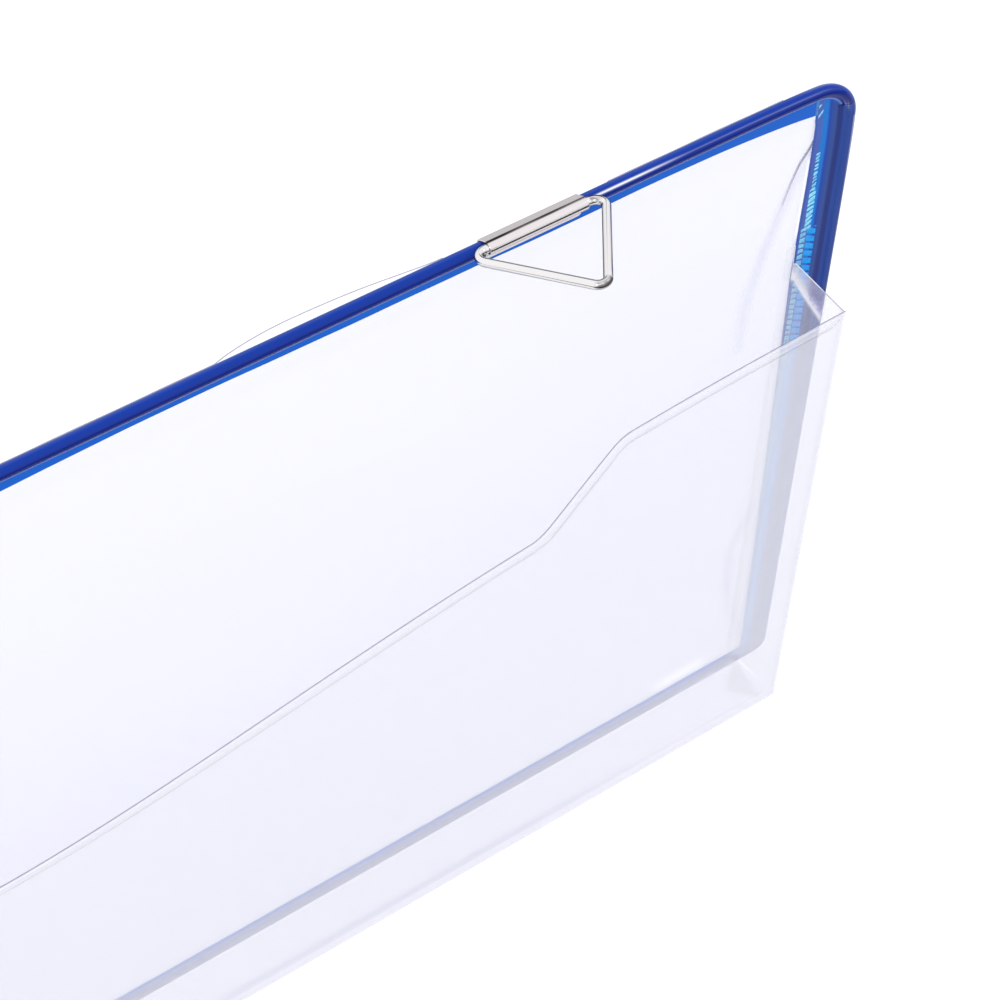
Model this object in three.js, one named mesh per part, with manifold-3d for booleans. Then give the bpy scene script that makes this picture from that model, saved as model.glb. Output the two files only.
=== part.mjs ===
// A landscape file pocket for a wall: a round steel wire frame inside a blue vinyl edge binding, a clear
// vinyl back sheet, a clear gusseted pocket on its front, and two folded sheet clips on the top edge, each
// with a triangular wire ring that swings.
// Millimetres. X runs to the right, Y to the back and Z up, and the front faces -Y. The origin is the middle
// of the frame wire's top run.

import * as THREE from "three";
import { mergeVertices } from "three/addons/utils/BufferGeometryUtils.js";
import Module from "manifold-3d";

const wasm = await Module();
wasm.setup();

// Steel frame wire, a closed rectangle measured between the axes of its runs
const frameWidth = 338;
const frameHeight = 226;
const frameTopCornerRadius = 9.5;
const frameBottomCornerRadius = 3.5;
const frameWireDiameter = 2;

// Blue edge binding, a strip folded round the wire and welded flat, so its flange is two plies thick
const bindingPly = 0.4;
const bindingWireGap = 0.1;
const bindingJointGap = 0.35;
const topFlangeDepth = 4;
const topFlangeEndDepth = 6.4;
const topFlangeFlareShare = 8;
const topLegLength = 0.4;
const bottomLegLength = 6;
const sideFlangeDepth = 10.5;
const sideFlangeTopDepth = 9.8;
const sideFlangeBottomDepth = 7.5;
const sideFlangeTaperLength = 50;
const bottomFlangeDepth = 3.4;

// Clear vinyl film of the back sheet and the pocket
const filmThickness = 0.3;
const filmLayGap = 0.06;
const filmEdgeInset = 2.3;
const filmCornerRadius = 3;

// The back sheet's free top edge, which stands up behind the bead and is cut away round each clip
const rimRampStart = 5;
const rimRampEnd = 1.8;
const rimLipHeight = 0.4;
const rimFlapHeight = 3.2;
const rimFlapStart = 12;
const rimFlapEnd = 62;
const rimFlapSkewShare = 0.7;
const rimEndInset = 18;
const rimNotchMargin = 2;

// Pocket
const pocketDepth = 16;
const pocketFrontInset = 6.3;
const pocketWeldInset = 9.8;
const pocketTabWidth = 3.8;
const pocketTabTop = 47;
const pocketTabCornerRadius = 1.2;
const pocketShoulderDrop = 58.5;
const pocketShoulderFall = 1.9;
const pocketLowEdgeDrop = 81;
const pocketShoulderLength = 65;
const pocketSlopeLength = 22.5;
const pocketEdgeRounding = 3;
const pocketCreaseDrop = 2.4;
const pocketBulge = 16.7;
const pocketBulgeSkewShare = 2.2;
const pocketBulgeRiseShare = 1.8;
const pocketFoldGap = 0.35;
const gussetBendRadius = 1.2;
const gussetTopDrop = 53.5;
const tuckWidth = 9;
const tuckLift = 0.35;

// Clips, folded from nickel plated sheet, one over each quarter point of the top edge
const clipPitch = 168;
const clipLength = 24;
const clipSheet = 0.35;
const clipFitGap = 0.1;
const clipLegReach = 3.5;
const clipLegCornerRadius = 1;

// Triangular rings, bent from steel wire, whose base runs through the clips
const ringWireDiameter = 2;
const ringBase = 34.2;
const ringHeight = 25.8;
const ringBaseBendRadius = 2.4;
const ringApexBendRadius = 2;
const ringBeadClearance = 0.4;
const ringAxisElevationDeg = 40;
const ringRestTiltDeg = 10;

// Facets
const wireSides = 12;
const cornerSteps = 8;
const bendSteps = 8;
const sheetRows = 8;
const vertexMergeTolerance = 1e-4;

// Sizes worked out from those above
const wireRadius = frameWireDiameter / 2;
const boreRadius = wireRadius + bindingWireGap;
const beadRadius = boreRadius + bindingPly;
const halfWidth = frameWidth / 2;
const filmFront = bindingPly + filmLayGap;
const filmBack = filmFront + filmThickness;
const ringRadius = ringWireDiameter / 2;
const ringAxisDistance = beadRadius + ringRadius + ringBeadClearance;
const ringAxisElevation = THREE.MathUtils.degToRad(ringAxisElevationDeg);
const ringAxisY = -ringAxisDistance * Math.cos(ringAxisElevation);
const ringAxisZ = ringAxisDistance * Math.sin(ringAxisElevation);
const creaseZ = -frameHeight - pocketCreaseDrop;
const pocketFrontHalf = halfWidth - pocketFrontInset;
const pocketWeldHalf = halfWidth - pocketWeldInset;

// Materials
const steel = new THREE.MeshStandardMaterial({ color: 0xb9bcc4, roughness: 0.35, metalness: 1 });
const nickel = new THREE.MeshStandardMaterial({ color: 0xd6d4d2, roughness: 0.16, metalness: 1 });
const satinNickel = new THREE.MeshStandardMaterial({ color: 0xc4c3c6, roughness: 0.34, metalness: 1 });
const blueVinyl = new THREE.MeshStandardMaterial({ color: 0x1248b4, roughness: 0.22, metalness: 0 });
const clearVinyl = new THREE.MeshStandardMaterial({
  color: 0xf0f2fb,
  roughness: 0.08,
  metalness: 0,
  transparent: true,
  opacity: 0.25,
});

// Booleans

function solidOf(geometry) {
  const bare = geometry.index ? geometry.toNonIndexed() : geometry.clone();
  bare.deleteAttribute("normal");
  bare.deleteAttribute("uv");
  const merged = mergeVertices(bare, vertexMergeTolerance);
  return new wasm.Manifold(
    new wasm.Mesh({
      numProp: 3,
      vertProperties: new Float32Array(merged.attributes.position.array),
      triVerts: new Uint32Array(merged.index.array),
    }),
  );
}

function geometryOf(solid) {
  const mesh = solid.getMesh();
  const geometry = new THREE.BufferGeometry();
  const positions = new THREE.BufferAttribute(new Float32Array(mesh.vertProperties), mesh.numProp);
  geometry.setAttribute("position", positions);
  geometry.setIndex(new THREE.BufferAttribute(new Uint32Array(mesh.triVerts), 1));
  geometry.computeVertexNormals();
  return geometry;
}

function join(...geometries) {
  return geometryOf(geometries.map(solidOf).reduce((all, next) => all.add(next)));
}

function cut(geometry, ...cutters) {
  return geometryOf(cutters.map(solidOf).reduce((all, next) => all.subtract(next), solidOf(geometry)));
}

// Surfaces

// A closed solid from rows of points: each row is one closed section, and the rows are capped at both ends
// or, where the rows form a ring, joined last to first.
function loft(rows, ring = false) {
  const sides = rows[0].length;
  const positions = rows.flat().flatMap((point) => [point.x, point.y, point.z]);
  const triangles = [];
  const bands = ring ? rows.length : rows.length - 1;
  for (let i = 0; i < bands; i += 1) {
    const next = (i + 1) % rows.length;
    for (let j = 0; j < sides; j += 1) {
      const k = (j + 1) % sides;
      triangles.push(i * sides + j, i * sides + k, next * sides + k);
      triangles.push(i * sides + j, next * sides + k, next * sides + j);
    }
  }
  if (!ring) {
    const last = (rows.length - 1) * sides;
    for (let j = 1; j < sides - 1; j += 1) {
      triangles.push(0, j + 1, j);
      triangles.push(last, last + j, last + j + 1);
    }
  }
  const geometry = new THREE.BufferGeometry();
  geometry.setAttribute("position", new THREE.Float32BufferAttribute(positions, 3));
  geometry.setIndex(triangles);
  return geometry;
}

// A bent sheet: front(u, v) gives one face and back(u, v) the other, for u and v from 0 to 1.
function sheet(front, back, columnsShares, rowsShares) {
  const rows = columnsShares.map((u) => {
    const there = rowsShares.map((v) => front(u, v));
    const home = rowsShares.map((v) => back(u, v)).reverse();
    return there.concat(home);
  });
  const sides = rows[0].length;
  const half = sides / 2;
  const geometry = loft(rows, false);
  const index = Array.from(geometry.index.array).slice(0, (rows.length - 1) * sides * 6);
  const last = (rows.length - 1) * sides;
  for (let j = 0; j < half - 1; j += 1) {
    const mate = sides - 1 - j;
    index.push(j, mate, j + 1, j + 1, mate, mate - 1);
    index.push(last + j, last + j + 1, last + mate, last + j + 1, last + mate - 1, last + mate);
  }
  geometry.setIndex(index);
  return facingOut(geometry);
}

// Turns a closed mesh that faces inwards the other way round.
function facingOut(geometry) {
  const p = geometry.attributes.position;
  const index = Array.from(geometry.index.array);
  const [a, b, c] = [new THREE.Vector3(), new THREE.Vector3(), new THREE.Vector3()];
  let volume = 0;
  for (let i = 0; i < index.length; i += 3) {
    a.fromBufferAttribute(p, index[i]);
    b.fromBufferAttribute(p, index[i + 1]);
    c.fromBufferAttribute(p, index[i + 2]);
    volume += a.dot(b.cross(c));
  }
  if (volume < 0) geometry.setIndex(index.reverse());
  return geometry;
}

function evenShares(count) {
  return Array.from({ length: count + 1 }, (_, i) => i / count);
}

// A flat outline in the plane of the frame, thickened from one depth to another. A point that repeats the
// one before is left out.
function plate(outline, fromY, toY) {
  const isNew = (point, i) => i === 0 || point.distanceTo(outline[i - 1]) > vertexMergeTolerance;
  const shape = new THREE.Shape(outline.filter(isNew));
  const geometry = new THREE.ExtrudeGeometry(shape, { depth: toY - fromY, bevelEnabled: false, steps: 1 });
  geometry.rotateX(Math.PI / 2);
  geometry.translate(0, toY, 0);
  return geometry;
}

// An outline across the binding, as points of depth y and height z, drawn out along X.
function alongX(outline, fromX, toX) {
  const clockwise = THREE.ShapeUtils.isClockWise(outline);
  const points = clockwise ? outline.slice().reverse() : outline;
  const geometry = new THREE.ExtrudeGeometry(new THREE.Shape(points), {
    depth: toX - fromX,
    bevelEnabled: false,
    steps: 1,
  });
  const frame = new THREE.Matrix4().makeBasis(
    new THREE.Vector3(0, 1, 0),
    new THREE.Vector3(0, 0, 1),
    new THREE.Vector3(1, 0, 0),
  );
  geometry.applyMatrix4(frame);
  geometry.translate(fromX, 0, 0);
  return geometry;
}

// Wire paths: stations of a place, a direction across the path in its plane, and a widening that keeps
// the wire round in a bend.

function arcStations(centre, radius, fromDeg, toDeg, steps) {
  return evenShares(steps).map((t) => {
    const angle = THREE.MathUtils.degToRad(THREE.MathUtils.lerp(fromDeg, toDeg, t));
    const out = new THREE.Vector2(Math.cos(angle), Math.sin(angle));
    return { place: out.clone().multiplyScalar(radius).add(centre), out };
  });
}

// Round sections of one radius on stations in a plane, where lift is the direction out of that plane and
// toSpace puts a point of the plane in space.
function tube(stations, radius, sides, toSpace, lift, ring) {
  const rows = stations.map(({ place, out }) =>
    evenShares(sides)
      .slice(0, sides)
      .map((t) => {
        const angle = (t + 1 / sides / 2) * Math.PI * 2;
        const across = place.clone().addScaledVector(out, radius * Math.cos(angle));
        return toSpace(across).addScaledVector(lift, radius * Math.sin(angle));
      }),
  );
  return facingOut(loft(rows, ring));
}

const inFrame = (point) => new THREE.Vector3(point.x, 0, point.y);
const frameLift = new THREE.Vector3(0, 1, 0);

// Where the frame's corners bend
const topBend = {
  centre: new THREE.Vector2(halfWidth - frameTopCornerRadius, -frameTopCornerRadius),
  radius: frameTopCornerRadius,
};
const bottomBend = {
  centre: new THREE.Vector2(halfWidth - frameBottomCornerRadius, frameBottomCornerRadius - frameHeight),
  radius: frameBottomCornerRadius,
};

const mirrored = (point) => new THREE.Vector2(-point.x, point.y);

function frameCorner(bend, side, fromDeg) {
  const centre = side > 0 ? bend.centre : mirrored(bend.centre);
  return arcStations(centre, bend.radius, fromDeg, fromDeg + 90, cornerSteps);
}

// The stretch of the right top corner's bend that lies between two heights, some way inside the wire's axis
function topBendStretch(inset, lowZ, highZ) {
  const radius = topBend.radius - inset;
  const degAt = (z) => {
    const rise = THREE.MathUtils.clamp((z - topBend.centre.y) / radius, 0, 1);
    return THREE.MathUtils.radToDeg(Math.asin(rise));
  };
  const stations = arcStations(topBend.centre, radius, degAt(lowZ), degAt(highZ), cornerSteps);
  return stations.map(({ place }) => place);
}

function frameWire() {
  const stations = [
    ...frameCorner(topBend, 1, 0),
    ...frameCorner(topBend, -1, 90),
    ...frameCorner(bottomBend, -1, 180),
    ...frameCorner(bottomBend, 1, 270),
  ];
  return tube(stations, wireRadius, wireSides, inFrame, frameLift, true);
}

// A bead that runs round two corners with a leg down or up each side.
function cornerBead(bend, fromDeg, legZ, radius, legOverrun) {
  const legEnd = legZ + Math.sign(legZ - bend.centre.y) * legOverrun;
  const side = fromDeg === 0 ? 1 : -1;
  const first = frameCorner(bend, side, fromDeg);
  const second = frameCorner(bend, -side, fromDeg + 90);
  const start = { place: new THREE.Vector2(first[0].place.x, legEnd), out: first[0].out };
  const last = second[second.length - 1];
  const end = { place: new THREE.Vector2(last.place.x, legEnd), out: last.out };
  return tube([start, ...first, ...second, end], radius, wireSides, inFrame, frameLift, false);
}

function straightBead(x, lowZ, highZ, radius) {
  const out = new THREE.Vector2(1, 0);
  const stations = [highZ, lowZ].map((z) => ({ place: new THREE.Vector2(x, z), out }));
  return tube(stations, radius, wireSides, inFrame, frameLift, false);
}

// How far the bore runs past a strip's ends when it is cut
const boreOverrun = bindingPly;

const topLegZ = topBend.centre.y - topLegLength;
const bottomLegZ = bottomBend.centre.y + bottomLegLength;

// The top strip's flange, which follows the frame's bends and deepens a little towards both corners
function topFlangeOutline() {
  const bend = topBendStretch(0, -topFlangeEndDepth, 0);
  const end = new THREE.Vector2(bend[0].x, -topFlangeEndDepth);
  const points = [...bend.toReversed(), end];
  for (let step = 0; step <= 3 * bendSteps; step += 1) {
    const share = Math.cos((step * Math.PI) / (3 * bendSteps));
    const flare = Math.abs(share) ** topFlangeFlareShare;
    const depth = THREE.MathUtils.lerp(topFlangeDepth, topFlangeEndDepth, flare);
    points.push(new THREE.Vector2((halfWidth - sideFlangeDepth) * share, -depth));
  }
  return [...points, mirrored(end), ...bend.map(mirrored)];
}

function bottomFlangeOutline() {
  const innerZ = -frameHeight + bottomFlangeDepth;
  const half = [
    new THREE.Vector2(bottomBend.centre.x, -frameHeight),
    new THREE.Vector2(halfWidth, Math.min(bottomBend.centre.y, innerZ)),
    new THREE.Vector2(halfWidth, innerZ),
  ];
  return [...half, ...half.map(mirrored).toReversed()];
}

function borderTop() {
  const bead = cornerBead(topBend, 0, topLegZ, beadRadius, 0);
  const flange = plate(topFlangeOutline(), -bindingPly, bindingPly);
  return cut(join(bead, flange), cornerBead(topBend, 0, topLegZ, boreRadius, boreOverrun));
}

function borderBottom() {
  const bead = cornerBead(bottomBend, 180, bottomLegZ, beadRadius, 0);
  const flange = plate(bottomFlangeOutline(), -bindingPly, bindingPly);
  return cut(join(bead, flange), cornerBead(bottomBend, 180, bottomLegZ, boreRadius, boreOverrun));
}

// A side strip's flange is widest a little way down, narrows towards both ends, and is cut back there, clear
// of the top and bottom strips.
function borderSide(side) {
  const highZ = topLegZ - bindingJointGap;
  const lowZ = bottomLegZ + bindingJointGap;
  const bead = straightBead(side * halfWidth, lowZ, highZ, beadRadius);
  const innerX = halfWidth - sideFlangeDepth;
  const legX = halfWidth - beadRadius - bindingJointGap;
  const flangeTop = -topFlangeEndDepth - bindingJointGap;
  const flangeBottom = -frameHeight + bottomFlangeDepth + bindingJointGap;
  const taper = new THREE.QuadraticBezierCurve(
    new THREE.Vector2(innerX, flangeTop - sideFlangeTaperLength),
    new THREE.Vector2(innerX, flangeTop - sideFlangeTaperLength / 2),
    new THREE.Vector2(halfWidth - sideFlangeTopDepth, flangeTop),
  );
  const bend = topBendStretch(beadRadius + bindingJointGap, topBend.centre.y, flangeTop);
  const outline = [
    new THREE.Vector2(halfWidth, lowZ),
    new THREE.Vector2(legX, lowZ),
    new THREE.Vector2(legX, flangeBottom),
    new THREE.Vector2(halfWidth - sideFlangeBottomDepth, flangeBottom),
    ...taper.getPoints(bendSteps),
    new THREE.Vector2(bend[bend.length - 1].x, flangeTop),
    ...bend.toReversed().map((point) => new THREE.Vector2(point.x, Math.min(point.y, flangeTop))),
    new THREE.Vector2(legX, highZ),
    new THREE.Vector2(halfWidth, highZ),
  ];
  const flange = plate(side > 0 ? outline : outline.map(mirrored), -bindingPly, bindingPly);
  const bore = straightBead(side * halfWidth, lowZ - boreOverrun, highZ + boreOverrun, boreRadius);
  return cut(join(bead, flange), bore);
}

// Back sheet

const rimTopY = beadRadius + filmLayGap;
const notchHalf = ringBase / 2 + ringRadius + rimNotchMargin;
const notchZ = -rimRampStart;

function backPlate() {
  const edge = halfWidth - filmEdgeInset;
  const lowZ = -frameHeight + filmEdgeInset;
  const bend = topBendStretch(filmEdgeInset, topBend.centre.y, notchZ);
  const centre = new THREE.Vector2(edge - filmCornerRadius, lowZ + filmCornerRadius);
  const foot = arcStations(centre, filmCornerRadius, 270, 360, cornerSteps).map(({ place }) => place);
  const half = [...foot, ...bend.map((point) => new THREE.Vector2(point.x, Math.min(point.y, notchZ)))];
  half.push(new THREE.Vector2(bend[bend.length - 1].x, notchZ));
  return plate([...half, ...half.map(mirrored).toReversed()], filmFront, filmBack);
}

// How high the rim stands over the frame's top axis: a low lip, and one loose flap beside the right clip
function rimHeight(x) {
  if (x < rimFlapStart || x > rimFlapEnd) return rimLipHeight;
  const along = (x - rimFlapStart) / (rimFlapEnd - rimFlapStart);
  const flap = Math.sin(Math.PI * along ** rimFlapSkewShare);
  return THREE.MathUtils.lerp(rimLipHeight, rimFlapHeight, flap);
}

// One stretch of the rim: flat where it leaves the plate, then up a slope and straight up behind the bead
function rimStretch(fromX, toX) {
  const face = (shift) => (u, v) => {
    const x = THREE.MathUtils.lerp(fromX, toX, u);
    const stops = [
      [filmFront + shift, notchZ - filmThickness],
      [filmFront + shift, notchZ],
      [rimTopY + shift, -rimRampEnd],
      [rimTopY + shift, rimHeight(x)],
    ];
    const [y, z] = stops[Math.round(v * (stops.length - 1))];
    return new THREE.Vector3(x, y, z);
  };
  return sheet(face(0), face(filmThickness), evenShares(3 * bendSteps), evenShares(3));
}

function backPanel() {
  const end = halfWidth - rimEndInset;
  const clip = clipPitch / 2;
  const stretches = [
    rimStretch(-end, -clip - notchHalf),
    rimStretch(-clip + notchHalf, clip - notchHalf),
    rimStretch(clip + notchHalf, end),
  ];
  return join(backPlate(), ...stretches);
}

// Pocket

const frontSpan = 2 * pocketFrontHalf;

// Where the front's columns stand, as shares of its width: closest round each corner of the cut edge
function frontColumns() {
  const shoulder = pocketShoulderLength;
  const foot = pocketShoulderLength + pocketSlopeLength;
  const half = [0, shoulder / 2, shoulder - pocketEdgeRounding, shoulder, shoulder + pocketEdgeRounding];
  half.push(foot - pocketEdgeRounding, foot, foot + pocketEdgeRounding, (foot + pocketFrontHalf) / 2);
  half.push((foot + 3 * pocketFrontHalf) / 4);
  const left = half.map((length) => length / frontSpan);
  const right = left.map((share) => 1 - share).reverse();
  return [...left, 0.5, ...right];
}

// Height of the pocket's free edge at a distance from the nearer end, straight with rounded corners
function freeEdgeZ(length) {
  const rounding = pocketEdgeRounding;
  const shoulder = pocketShoulderLength;
  const foot = shoulder + pocketSlopeLength;
  const fall = pocketShoulderFall / shoulder;
  const slope = (pocketLowEdgeDrop - pocketShoulderDrop - pocketShoulderFall) / pocketSlopeLength;
  const soft = (t) => {
    if (t <= -rounding) return 0;
    if (t >= rounding) return t;
    return (t + rounding) ** 2 / (4 * rounding);
  };
  const level = -pocketShoulderDrop - fall * Math.min(length, shoulder);
  return level - slope * (soft(length - shoulder) - soft(length - foot));
}

// How far the slack front bows out at a share of its width from the left and of its height from the crease
function bulge(widthShare, heightShare) {
  const across = Math.sin(Math.PI * (1 - widthShare) ** pocketBulgeSkewShare);
  return pocketBulge * Math.max(across, 0) * Math.min(heightShare, 1) ** pocketBulgeRiseShare;
}

function frontFace(shift) {
  return (u, v) => {
    const x = THREE.MathUtils.lerp(-pocketFrontHalf, pocketFrontHalf, u);
    const topZ = freeEdgeZ(Math.min(u, 1 - u) * frontSpan);
    const z = THREE.MathUtils.lerp(creaseZ, topZ, v);
    const heightShare = (z - creaseZ) / (-pocketLowEdgeDrop - creaseZ);
    return new THREE.Vector3(x, -pocketDepth - bulge(u, heightShare) + shift, z);
  };
}

function pocketFront() {
  return sheet(frontFace(0), frontFace(filmThickness), frontColumns(), evenShares(sheetRows));
}

const tabBack = -bindingPly - filmLayGap;
const tabFront = tabBack - filmThickness;
const insideFrontY = -pocketDepth + filmThickness + pocketFoldGap;
const floorBackZ = -frameHeight + beadRadius + pocketFoldGap + filmThickness;
const floorLipZ = floorBackZ + filmThickness + pocketFoldGap;

// The floor rises from the front crease to the bottom strip, over the bead, and ends in a welded lip.
function floorHeight(y) {
  const share = (y - insideFrontY) / (tabFront - insideFrontY);
  return THREE.MathUtils.lerp(creaseZ, floorBackZ, share);
}

function pocketFloor() {
  const end = pocketWeldHalf - gussetBendRadius - pocketFoldGap;
  const frontEnd = pocketFrontHalf - filmThickness - pocketFoldGap;
  const slope = [
    [insideFrontY, frontEnd],
    [tabFront, end],
  ];
  const lower = slope.map(([y, x]) => new THREE.Vector3(x, y, floorHeight(y)));
  const upper = lower.map((p) => p.clone().add(new THREE.Vector3(0, 0, filmThickness)));
  const section = (side) => {
    const points = [lower[0], lower[1], new THREE.Vector3(end, tabBack, floorBackZ)];
    points.push(new THREE.Vector3(end, tabBack, floorLipZ), new THREE.Vector3(end, tabFront, floorLipZ));
    points.push(upper[1], upper[0]);
    return points.map((p) => new THREE.Vector3(p.x * side, p.y, p.z));
  };
  return solidFromSections(section(-1), section(1));
}

// Two matching outlines joined by flat sides, with their ends closed as flat faces of any outline
function solidFromSections(first, second) {
  const geometry = loft([first, second], false);
  const count = first.length;
  const index = Array.from(geometry.index.array).slice(0, count * 6);
  const flat = first.map((p) => new THREE.Vector2(p.y, p.z));
  for (const [a, b, c] of THREE.ShapeUtils.triangulateShape(flat, [])) {
    index.push(a, c, b);
    index.push(count + a, count + b, count + c);
  }
  geometry.setIndex(index);
  return facingOut(geometry);
}

// A side gusset: a tab welded on the side strip, a soft bend, and a wall to the front crease
function gussetPath() {
  const tabInner = pocketWeldHalf - pocketTabWidth;
  const tabOuter = pocketWeldHalf - gussetBendRadius;
  const path = new THREE.Path();
  path.moveTo(tabInner, 0);
  for (const share of evenShares(bendSteps / 2).slice(1)) {
    path.lineTo(THREE.MathUtils.lerp(tabInner, tabOuter, share), 0);
  }
  path.quadraticCurveTo(pocketWeldHalf, 0, pocketWeldHalf, -gussetBendRadius);
  path.lineTo(pocketFrontHalf - filmThickness, insideFrontY - tabBack);
  return path.getPoints(bendSteps).map((p) => new THREE.Vector2(p.x, p.y));
}

// Offsets an open outline to one side, square to it at each point.
function offsetOpen(points, distance) {
  return points.map((point, i) => {
    const before = points[Math.max(i - 1, 0)];
    const after = points[Math.min(i + 1, points.length - 1)];
    const along = after.clone().sub(before).normalize();
    return new THREE.Vector2(point.x + along.y * distance, point.y - along.x * distance);
  });
}

// The gusset's free top: a flap with a round corner on the tab, and from the bend a straight fall to the
// front corner
function gussetTopZ(x, y) {
  const along = x - (pocketWeldHalf - pocketTabWidth);
  if (along <= pocketTabWidth - gussetBendRadius) {
    const short = Math.max(pocketTabCornerRadius - along, 0);
    return -pocketTabTop - pocketTabCornerRadius + Math.sqrt(pocketTabCornerRadius ** 2 - short ** 2);
  }
  const share = THREE.MathUtils.clamp((tabFront - y) / (tabFront - insideFrontY), 0, 1);
  return THREE.MathUtils.lerp(-gussetTopDrop, -pocketShoulderDrop, share);
}

function gussetBottomZ(y) {
  const floorTop = floorHeight(Math.max(y, insideFrontY)) + filmThickness;
  return (y > tabFront - pocketFoldGap ? floorLipZ : floorTop) + pocketFoldGap;
}

function pocketSideGusset(side) {
  const outer = gussetPath().map((p) => new THREE.Vector2(p.x, p.y + tabBack));
  const inner = offsetOpen(outer, filmThickness);
  const columns = evenShares(outer.length - 1);
  const face = (points) => (u, v) => {
    const p = points[Math.round(u * (points.length - 1))];
    const z = THREE.MathUtils.lerp(gussetBottomZ(p.y), gussetTopZ(p.x, p.y), v);
    return new THREE.Vector3(side * p.x, p.y, z);
  };
  return sheet(face(inner), face(outer), columns, evenShares(sheetRows));
}

// A corner tuck: the film's spare corner, folded flat on the floor as a triangle
function pocketCornerTuck(side) {
  const frontY = insideFrontY + tuckLift;
  const backY = tabFront - gussetBendRadius;
  const innerX = pocketWeldHalf - filmThickness - pocketFoldGap;
  const corners = [
    [innerX, frontY],
    [innerX - gussetBendRadius, backY],
    [innerX - tuckWidth, (frontY + backY) / 2],
  ];
  const layer = (lift) =>
    corners.map(([x, y]) => new THREE.Vector3(side * x, y, floorHeight(y) + filmThickness + lift));
  return facingOut(loft([layer(tuckLift), layer(tuckLift + filmThickness)], false));
}

// Clips

// One band of sheet in the plane of depth and height, offset half its thickness each way.
function band(centreLine) {
  const one = offsetOpen(centreLine, clipSheet / 2);
  const other = offsetOpen(centreLine, -clipSheet / 2).reverse();
  return one.concat(other);
}

function arcPoints(centre, radius, fromAngle, toAngle) {
  return evenShares(2 * bendSteps).map((t) => {
    const angle = THREE.MathUtils.lerp(fromAngle, toAngle, t);
    return new THREE.Vector2(centre.x + radius * Math.cos(angle), centre.y + radius * Math.sin(angle));
  });
}

// The hood runs from the back leg round the bead's back, up a flat slope and round the ring's wire. The
// front leg runs from the wire's underside round the bead's front and down the flange.
function clip(centreX) {
  const bead = new THREE.Vector2(0, 0);
  const wire = new THREE.Vector2(ringAxisY, ringAxisZ);
  const beadBend = beadRadius + clipFitGap + clipSheet / 2;
  const wireBend = ringRadius + clipFitGap + clipSheet / 2;
  const legY = bindingPly + filmLayGap + clipSheet / 2;
  const legAngle = Math.acos(legY / beadBend);
  const towardWire = Math.PI - ringAxisElevation;
  const tangent = towardWire - Math.acos((beadBend - wireBend) / ringAxisDistance);
  const along = (ringAxisDistance ** 2 + beadBend ** 2 - wireBend ** 2) / (2 * ringAxisDistance);
  const valleyOnBead = Math.acos(along / beadBend);
  const valleyOnWire = Math.acos((ringAxisDistance - along) / wireBend);
  const hood = [
    new THREE.Vector2(legY, -clipLegReach),
    ...arcPoints(bead, beadBend, -legAngle, tangent),
    ...arcPoints(wire, wireBend, tangent, towardWire + Math.PI - valleyOnWire),
  ];
  const frontLeg = [
    ...arcPoints(bead, beadBend, towardWire + valleyOnBead, Math.PI + legAngle),
    new THREE.Vector2(-legY, -clipLegReach),
  ];
  const fromX = centreX - clipLength / 2;
  const toX = centreX + clipLength / 2;
  const folded = join(alongX(band(hood), fromX, toX), alongX(band(frontLeg), fromX, toX));
  return cut(folded, legCornerCutter(fromX, 1), legCornerCutter(toX, -1));
}

// Takes the sharp lower corner off both legs at one end of a clip
function legCornerCutter(x, inward) {
  const radius = clipLegCornerRadius;
  const lowZ = -clipLegReach;
  const outerX = x - inward * clipSheet;
  const reach = beadRadius + clipSheet;
  const centre = new THREE.Vector2(x + inward * radius, lowZ + radius);
  const arc = arcPoints(centre, radius, Math.PI * 1.5, inward > 0 ? Math.PI : Math.PI * 2);
  const outline = [
    new THREE.Vector2(outerX, lowZ - clipSheet),
    new THREE.Vector2(centre.x, lowZ - clipSheet),
    ...arc,
    new THREE.Vector2(outerX, centre.y),
  ];
  return plate(outline, -reach, reach);
}

// Rings

// A triangle of wire whose three corners are bent to a radius, in the plane that its rest tilt gives.
function ring(centreX) {
  const tilt = THREE.MathUtils.degToRad(ringRestTiltDeg);
  const outward = new THREE.Vector3(0, -Math.cos(tilt), Math.sin(tilt));
  const lift = new THREE.Vector3(0, Math.sin(tilt), Math.cos(tilt));
  const corners = [
    { at: new THREE.Vector2(-ringBase / 2, 0), radius: ringBaseBendRadius },
    { at: new THREE.Vector2(ringBase / 2, 0), radius: ringBaseBendRadius },
    { at: new THREE.Vector2(0, ringHeight), radius: ringApexBendRadius },
  ];
  const stations = corners.flatMap(({ at, radius }, i) => {
    const before = corners[(i + corners.length - 1) % corners.length].at.clone().sub(at).normalize();
    const after = corners[(i + 1) % corners.length].at.clone().sub(at).normalize();
    const half = Math.acos(before.dot(after)) / 2;
    const middle = before.clone().add(after).normalize();
    const centre = middle.clone().multiplyScalar(radius / Math.sin(half)).add(at);
    const facing = THREE.MathUtils.radToDeg(middle.clone().negate().angle());
    const sweep = 90 - THREE.MathUtils.radToDeg(half);
    return arcStations(centre, radius, facing - sweep, facing + sweep, bendSteps);
  });
  const toSpace = (point) => {
    const place = new THREE.Vector3(centreX + point.x, ringAxisY, ringAxisZ);
    return place.addScaledVector(outward, point.y);
  };
  return tube(stations, ringRadius, wireSides, toSpace, lift, true);
}

// Assembly

function piece(name, geometry, material) {
  const mesh = new THREE.Mesh(geometry, material);
  mesh.name = name;
  return mesh;
}

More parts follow.
